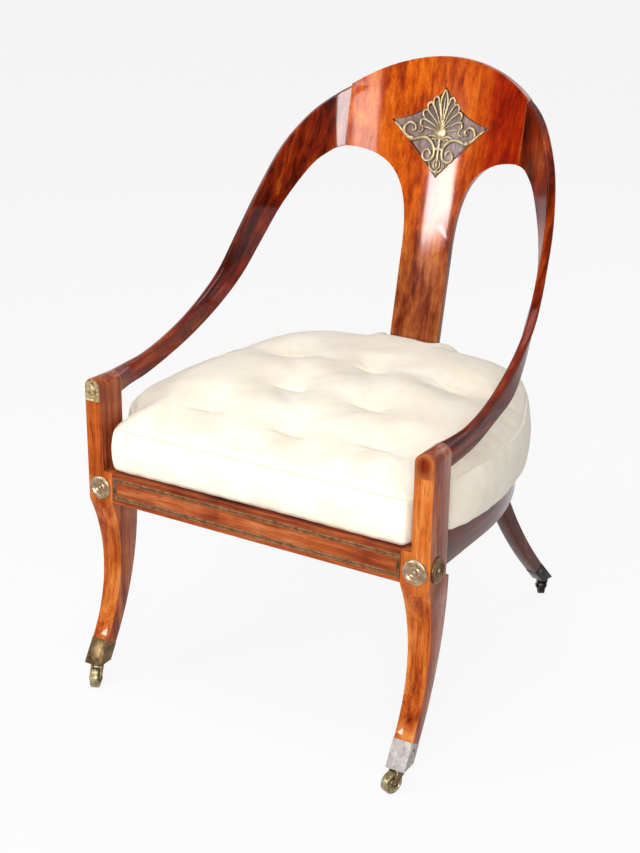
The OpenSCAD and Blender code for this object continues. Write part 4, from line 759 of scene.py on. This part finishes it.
# Cushion: a box cushion with a crowned, tufted top, grown from the CAD solid's own sides
squab = {
    "centre": (0.0, -0.04),
    "rays": 2880,
    "corners": (-45.6, 40.0, 140.0, 225.6),  # degrees in plan, from the right round by the back
    "across": 46,
    "along": 42,
    "base": 0.3263,
    "top": 0.4473,
    "probe": 0.035,  # height over the base at which the outline is measured
    "clear": 0.0006,  # of the border's lower seam over the base
    "borderShares": (0.0, 0.025, 0.09, 0.22, 0.4, 0.58, 0.76, 0.9, 0.965),
    "inside": 0.0015,  # the pad starts this far inside the solid, and swells
    "seam": 0.4063,  # height of the upper seam at the sides
    "seamFall": (0.016, 0.3),  # how much lower it is in front, over what share of the depth
    "seamRise": (0.024, 0.6),  # how much higher it is behind, from what share on
    "tufts": ((0.54, 0.172), (0.075, 0.15), (-0.433, 0.169), (0.336, 0.337), (-0.142, 0.352),
              (0.546, 0.602), (0.1, 0.588), (-0.423, 0.591)),
    "valleys": ((0, 1), (1, 2), (3, 4), (5, 6), (6, 7), (0, 3), (1, 3), (1, 4), (2, 4), (3, 5), (3, 6),
                (4, 6), (4, 7)),  # pairs of tufts that a valley joins
    "halfWidth": 0.270,
    "depth": 0.475,
    "frontY": -0.279822,
    "backY": 0.1865,
    "splatShare": 0.36,  # cosine of the directions in which the splat lifts the pad
    "splatBlend": 0.12,
    "leanShare": 0.2,  # cosine of those in which the pad leans as the splat does
    "atSplat": 0.4445,
    "rayTop": 0.416,
    "tuftDepth": 0.011,
    "tuftReach": (0.036, 0.020),
    "valleyDepth": 0.0055,
    "valleyReach": 0.018,
    "valleyAslant": 0.45,  # depth of a valley that isn't in a row of tufts
    "valleyMiddle": 0.55,  # depth of a valley halfway between its tufts
    "crownPower": (2.6, 3.4, 5.0),  # roundness towards the front, the sides and the back
    "below": 0.003,  # the crown starts this far under the solid's top
    "proud": 0.009,  # how far the crown may stand over the solid at the back
    "proudFrom": 0.7,  # share of the depth at which it does
    "pressure": 3.0,
    "slack": -0.012,  # cloth cut 1.2% larger than the pad, so that it folds
    "frames": 20,
    "cap": 0.006,  # how far the filling may carry the cover
    "tuftHold": 0.008,
    "seamDepth": 0.0026,
    "creaseFrom": 0.395,  # height over which the top has creases
    "crease": (0.0046, 0.0040, 0.024),  # depth, half width and half length of the fold at a tuft
    "pucker": (0.0014, 0.022, 0.014, 0.075),  # depth, mean length, how that varies, and reach
}


def ease(share):
    share = min(1.0, max(0.0, share))
    return share * share * (3 - 2 * share)


def squabSeam(y):
    run = (y - squab["frontY"]) / squab["depth"]
    fall, over = squab["seamFall"]
    rise, since = squab["seamRise"]
    return squab["seam"] - fall * (1 - ease(run / over)) + rise * ease((run - since) / (1 - since))


def squabTufts():
    return [Vector((x * squab["halfWidth"], squab["frontY"] + y * squab["depth"])) for x, y in squab["tufts"]]


def valleyDepth(spot, tufts):
    # the deepest pull towards a tuft or the lines between neighbouring tufts
    deepest = 0.0
    wide, deep = squab["tuftReach"]
    for one in tufts:
        off = math.hypot((spot.x - one.x) / wide, (spot.y - one.y) / deep)
        deepest = max(deepest, squab["tuftDepth"] * math.exp(-off ** 1.5))
    valley = 0.0
    for a, b in squab["valleys"]:
        start, step = tufts[a], tufts[b] - tufts[a]
        share = min(1.0, max(0.0, (spot - start).dot(step) / step.length_squared))
        off = (spot - start - step * share).length
        row = abs(step.y) < 0.03
        half = squab["valleyMiddle"]
        pull = (1.0 if row else squab["valleyAslant"]) * (half + (1 - half) * abs(2 * share - 1))
        valley = max(valley, pull * squab["valleyDepth"] * math.exp(-(off / squab["valleyReach"]) ** 2))
    return max(deepest, valley)


def squabShell(tree):
    centre = Vector((squab["centre"][0], squab["centre"][1], 0))

    def reach(angle, height):
        # above the lowest tuft the sides are carried on up, along the lean of the splat
        level = min(height, squab["rayTop"])
        start = Vector((centre.x, centre.y, level))
        hit = tree.ray_cast(start, Vector((math.cos(angle), math.sin(angle), 0)))
        leans = math.sin(angle) > 0 and abs(math.cos(angle)) < squab["leanShare"]
        lean = hollow["slope"] if leans else 0.0
        return (hit[0] - start).length - squab["inside"] + lean * (height - level)

    def seamAt(angle, y):
        # the seam runs up where the pad leans on the splat
        if math.sin(angle) <= 0:
            return squabSeam(y)
        lift = ease((squab["splatShare"] - abs(math.cos(angle))) / squab["splatBlend"])
        return squabSeam(y) + (squab["atSplat"] - squabSeam(y)) * lift

    middle = squab["base"] + squab["probe"]
    outline = []
    for i in range(squab["rays"]):
        angle = math.radians(squab["corners"][0]) + math.tau * i / squab["rays"]
        outline.append((angle, reach(angle, middle)))
    spots = [Vector((math.cos(a), math.sin(a))) * r for a, r in outline]
    walked = [0.0]
    for a, b in zip(spots, spots[1:] + spots[:1]):
        walked.append(walked[-1] + (b - a).length)
    corners = [round((c - squab["corners"][0]) / 360 * squab["rays"]) for c in squab["corners"]]
    corners.append(squab["rays"])
    angles = []
    counts = (squab["along"], squab["across"]) * 2
    for side, count in enumerate(counts):
        low, high = walked[corners[side]], walked[corners[side + 1]]
        for k in range(count):
            want = low + (high - low) * k / count
            i = int(np.searchsorted(walked, want, side="right")) - 1
            share = (want - walked[i]) / max(1e-9, walked[i + 1] - walked[i])
            angles.append(outline[0][0] + math.tau * (i + share) / squab["rays"])
    tufts = squabTufts()

    def crown(spot):
        way = spot - centre
        angle = math.atan2(way.y, way.x)
        seam = seamAt(angle, spot.y)
        edge = reach(angle, seam)
        if math.sin(angle) > 0 and abs(math.cos(angle)) < squab["splatShare"]:
            edge = max(edge, (squab["backY"] - centre.y) / math.sin(angle))
        share = min(1.0, Vector((way.x, way.y)).length / edge)
        front, side, back = squab["crownPower"]
        facing = math.sin(angle)
        power = side + (back - side) * ease(facing) + (front - side) * ease(-facing)
        high = squab["proud"] * ease((spot.y - squab["frontY"]) / squab["depth"] / squab["proudFrom"])
        swell = (squab["top"] + high - squab["below"] - seam) * (1 - share ** power)
        return seam + swell - valleyDepth(Vector((spot.x, spot.y)), tufts)

    rings = []
    for share in squab["borderShares"] + (1.0,):
        ring = []
        for angle in angles:
            way = Vector((math.cos(angle), math.sin(angle), 0))
            edge = centre + way * reach(angle, middle)
            seam = seamAt(angle, edge.y)
            foot = squab["base"] + squab["clear"]
            height = foot + share * (seam - foot)
            ring.append(centre + way * reach(angle, height) + Vector((0, 0, height)))
        rings.append(ring)

    def filled(ring, rise):
        # the four sides of a ring blended over a grid, with rise giving each point's height
        a, c = squab["along"], squab["across"]
        right = [ring[i] for i in range(a + 1)]
        back = [ring[a + i] for i in range(c + 1)]
        left = [ring[(a + c + i) % len(ring)] for i in range(a + 1)]
        front = [ring[(2 * a + c + i) % len(ring)] for i in range(c + 1)]
        back, left = back[::-1], left[::-1]
        grid = {}
        for i in range(c + 1):
            u = i / c
            for j in range(a + 1):
                v = j / a
                spot = (front[i] * (1 - v) + back[i] * v + left[j] * (1 - u) + right[j] * u
                        - (front[0] * (1 - u) * (1 - v) + front[c] * u * (1 - v)
                           + back[0] * (1 - u) * v + back[c] * u * v))
                if 0 < i < c and 0 < j < a:
                    spot.z = rise(spot)
                grid[i, j] = spot
        return grid

    def underside(spot):
        return squab["base"] + squab["clear"] / 2

    return rings, filled(rings[-1], crown), filled(rings[0], underside)


def sewSquab():
    solid = frame["nodes"]["seat_cushion"].data
    tree = BVHTree.FromPolygons([v.co for v in solid.vertices], [tuple(p.vertices) for p in solid.polygons])
    rings, topGrid, baseGrid = squabShell(tree)
    a, c = squab["along"], squab["across"]
    count = len(rings[0])
    last = len(rings) - 1
    spots, index = [], {}

    def edgeOf(i, j):
        # the ring's own vertex for a point on the grid's edge
        if i == c and j < a:
            return j
        if j == a and i > 0:
            return a + (c - i)
        if i == 0 and j > 0:
            return a + c + (a - j)
        if j == 0 and i < c:
            return (2 * a + c + i) % count
        return None

    for k, ring in enumerate(rings):
        for n, spot in enumerate(ring):
            index["ring", k, n] = len(spots)
            spots.append(spot)
    for name, grid, k in (("top", topGrid, last), ("base", baseGrid, 0)):
        for (i, j), spot in grid.items():
            n = edgeOf(i, j)
            if n is not None:
                index[name, i, j] = index["ring", k, n]
            else:
                index[name, i, j] = len(spots)
                spots.append(spot)
    faces = []
    for i in range(c):
        for j in range(a):
            square = [(i, j), (i + 1, j), (i + 1, j + 1), (i, j + 1)]
            faces.append([index["top", *p] for p in square])
            faces.append([index["base", *p] for p in square[::-1]])
    for k in range(last):
        for n in range(count):
            m = (n + 1) % count
            faces.append([index["ring", k, n], index["ring", k, m], index["ring", k + 1, m],
                          index["ring", k + 1, n]])
    mesh = bpy.data.meshes.new("squabCloth")
    mesh.from_pydata(spots, [], faces)
    seamRing = [index["ring", last, n] for n in range(count)]
    seam = set(seamRing)
    crisp = mesh.attributes.new("crease_edge", "FLOAT", "EDGE")
    crisp.data.foreach_set("value", [0.9 if set(e.vertices) <= seam else 0.0 for e in mesh.edges])
    pad = bpy.data.objects.new("squab_cushion", mesh)
    bpy.context.scene.collection.objects.link(pad)
    selectOnly(pad)
    tufts = squabTufts()
    held = [index["ring", k, n] for k in (0, last) for n in range(count)]
    held += [index["base", i, j] for i in range(c + 1) for j in range(a + 1)]
    for i in range(1, c):
        for j in range(1, a):
            spot = topGrid[i, j]
            if min((Vector((spot.x, spot.y)) - one).length for one in tufts) < squab["tuftHold"]:
                held.append(index["top", i, j])
    swellSquab(pad, sorted(set(held)), [Vector(p) for p in spots])
    keepInside(pad, tree)
    groove = pad.vertex_groups.new(name="seam")
    groove.add(seamRing, 1.0, "REPLACE")
    bpy.ops.object.modifier_add(type="SUBSURF")
    smooth = pad.modifiers[-1]
    smooth.levels = smooth.render_levels = 2
    bpy.ops.object.modifier_apply(modifier=smooth.name)
    drawCreases(pad, tufts)
    bpy.ops.object.shade_smooth()
    pad.vertex_groups.clear()
    pad.data.materials.append(materials["cotton"])
    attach(pad, "squab")
    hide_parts("seat_cushion")


def swellSquab(pad, held, starts):
    # cover blown up from inside, held at its seams, its base and its tufts
    pins = pad.vertex_groups.new(name="pins")
    pins.add(held, 1.0, "REPLACE")
    bpy.ops.object.modifier_add(type="CLOTH")
    cloth = pad.modifiers[-1]
    rules = cloth.settings
    rules.quality = 6
    rules.mass = 0.3
    rules.tension_stiffness = rules.compression_stiffness = 12
    rules.shear_stiffness = 4
    rules.bending_stiffness = 0.3
    rules.effector_weights.gravity = 0
    rules.use_pressure = True
    rules.uniform_pressure_force = squab["pressure"]
    rules.shrink_min = squab["slack"]
    rules.vertex_group_mass = "pins"
    rules.pin_stiffness = 1.0
    cloth.point_cache.frame_start, cloth.point_cache.frame_end = 1, squab["frames"]
    for step in range(1, squab["frames"] + 1):
        bpy.context.scene.frame_set(step)
    bpy.ops.object.modifier_apply(modifier=cloth.name)
    bpy.context.scene.frame_set(1)
    for vertex, start in zip(pad.data.vertices, starts):
        moved = vertex.co - start
        if moved.length > squab["cap"]:
            vertex.co = start + moved.normalized() * squab["cap"]


def keepInside(pad, tree):
    # the border stays this close to the solid's sides, and the crown a little over its top
    most = 0.0005
    for vertex in pad.data.vertices:
        near, normal, face, away = tree.find_nearest(vertex.co)
        if vertex.co.z < squab["rayTop"] and normal.z < 0.4 and (vertex.co - near).dot(normal) > most:
            vertex.co = near + normal * most
        vertex.co.z = min(vertex.co.z, squab["top"] + squab["proud"])


def drawCreases(pad, tufts):
    # one fold across each tuft with short pulled folds round it, and the seam drawn in
    group = pad.vertex_groups["seam"].index
    mesh = pad.data
    depth, half, reach = squab["crease"]
    pulled, mean, varies, limit = squab["pucker"]
    normals = [v.normal.copy() for v in mesh.vertices]
    for vertex, normal in zip(mesh.vertices, normals):
        sewn = max([g.weight for g in vertex.groups if g.group == group], default=0.0)
        push = squab["seamDepth"] * ease(sewn)
        spot = Vector((vertex.co.x, vertex.co.y))
        if vertex.co.z > squab["creaseFrom"] and normal.z > 0.35:
            for number, one in enumerate(tufts):
                way = spot - one
                bow = way.y + 12 * way.x * way.x + 0.1 * math.sin(number * 2.3) * way.x
                push += depth * math.exp(-(bow / half) ** 2 - (way.x / reach) ** 4)
                if way.length < limit:
                    angle = math.atan2(way.y, way.x)
                    lean = 1.7 * number + 0.5 * math.sin(2 * angle + number)
                    wave = 0.5 + 0.5 * math.cos((6 + number % 3) * angle + lean)
                    long = mean + varies * math.sin(3 * angle + 2.1 * number)
                    fade = ease(way.length / 0.012) * math.exp(-(way.length / long) ** 2)
                    push += pulled * wave ** 3 * fade
        vertex.co -= normal * push


sewSquab()
print("cushion sewn and filled")


# Floor, backdrop and light
studio = {
    "paper": "#f6f6f6",
    "paperInLight": "#e4e4e4",
    "floorSide": 90.0,
    "floorGlow": 0.887,                              # share of the floor's tone that no shadow touches
    "ambient": 0.18,
    # what reflections see, from in front of the chair to behind it
    "mirroredFloor": [(0.2, 0.06), (0.5, 1.0)],
    "mirroredRoom": [(0.42, 0.035), (0.75, 0.92)],
}


def makeFloor():
    bpy.ops.mesh.primitive_plane_add(size=studio["floorSide"], location=(0, 0, 0))
    floor = bpy.context.object
    floor.name = "floor"
    material, tree = newMaterial("paperFloor")
    rays = addNode(tree, "LightPath").outputs
    mirror = maths(tree, "MAXIMUM", rays["Is Glossy Ray"], rays["Is Transmission Ray"])
    seen = maths(tree, "MAXIMUM", rays["Is Camera Ray"], mirror)
    matt = addNode(tree, "BsdfDiffuse", {"Color": linear(studio["paperInLight"])})
    # reflections see white paper beside and behind the chair, and a dim room's floor in front of it
    depth = axisOf(tree, addNode(tree, "NewGeometry").outputs["Position"], "Y")
    mirrored = ramp(tree, maths(tree, "MULTIPLY_ADD", depth, 0.5, 0.5), studio["mirroredFloor"])
    shown = blend(tree, rays["Is Glossy Ray"], linear("#ffffff"), mirrored)
    glow = addNode(tree, "Emission", {"Color": shown, "Strength": 1.0})
    share = maths(tree, "MULTIPLY", seen, studio["floorGlow"])
    both = addNode(tree, "MixShader", {0: share, 1: matt.outputs[0], 2: glow.outputs[0]})
    addNode(tree, "OutputMaterial", {"Surface": both.outputs[0]})
    floor.data.materials.append(material)


def makeWorld():
    world = bpy.data.worlds.new("studio")
    bpy.context.scene.world = world
    world.use_nodes = True
    tree = world.node_tree
    tree.nodes.clear()
    rays = addNode(tree, "LightPath").outputs
    seen = maths(tree, "MAXIMUM", rays["Is Camera Ray"], rays["Is Transmission Ray"])
    # reflections see the pale backdrop behind the chair and a dim room in front of it
    depth = axisOf(tree, addNode(tree, "TexCoord").outputs["Generated"], "Y")
    behind = ramp(tree, maths(tree, "MULTIPLY_ADD", depth, 0.5, 0.5), studio["mirroredRoom"])
    ambient = blend(tree, rays["Is Glossy Ray"], (studio["ambient"],) * 3 + (1,), behind)
    colour = blend(tree, seen, ambient, linear(studio["paper"]))
    back = addNode(tree, "Background", {"Color": colour, "Strength": 1.0})
    addNode(tree, "OutputWorld", {"Surface": back.outputs[0]})


softboxes = {
    # angle from the front, angle above the floor, distance, width, height, brightness
    "windowLeft": (-31, 11.9, 3.4, 0.8, 0.36, 34.0),
    "windowRight": (26.5, 18, 3.6, 0.95, 1.0, 22.0),
    "paleWall": (9.5, 15, 3.6, 0.7, 0.8, 9.0),
    "skyPanel": (-5, 74, 3.2, 2.4, 2.0, 3.5),
    "backFill": (165, 28, 3.6, 2.4, 1.6, 1.5),
}


def makeLights():
    middle = Vector((0, 0.15, 0.55))
    for name, (azimuth, height, distance, width, tall, bright) in softboxes.items():
        data = bpy.data.lights.new(name, "AREA")
        data.shape, data.size, data.size_y = "RECTANGLE", width, tall
        data.energy = bright * math.pi * width * tall
        a, e = math.radians(azimuth), math.radians(height)
        way = Vector((math.sin(a) * math.cos(e), -math.cos(a) * math.cos(e), math.sin(e)))
        lamp = bpy.data.objects.new(name, data)
        bpy.context.scene.collection.objects.link(lamp)
        lamp.location = middle + way * distance
        lamp.rotation_mode = "QUATERNION"
        lamp.rotation_quaternion = way.to_track_quat("Z", "Y")


makeFloor()
makeWorld()
makeLights()
bpy.context.scene.view_settings.view_transform = "Standard"
print("stage and lights set")
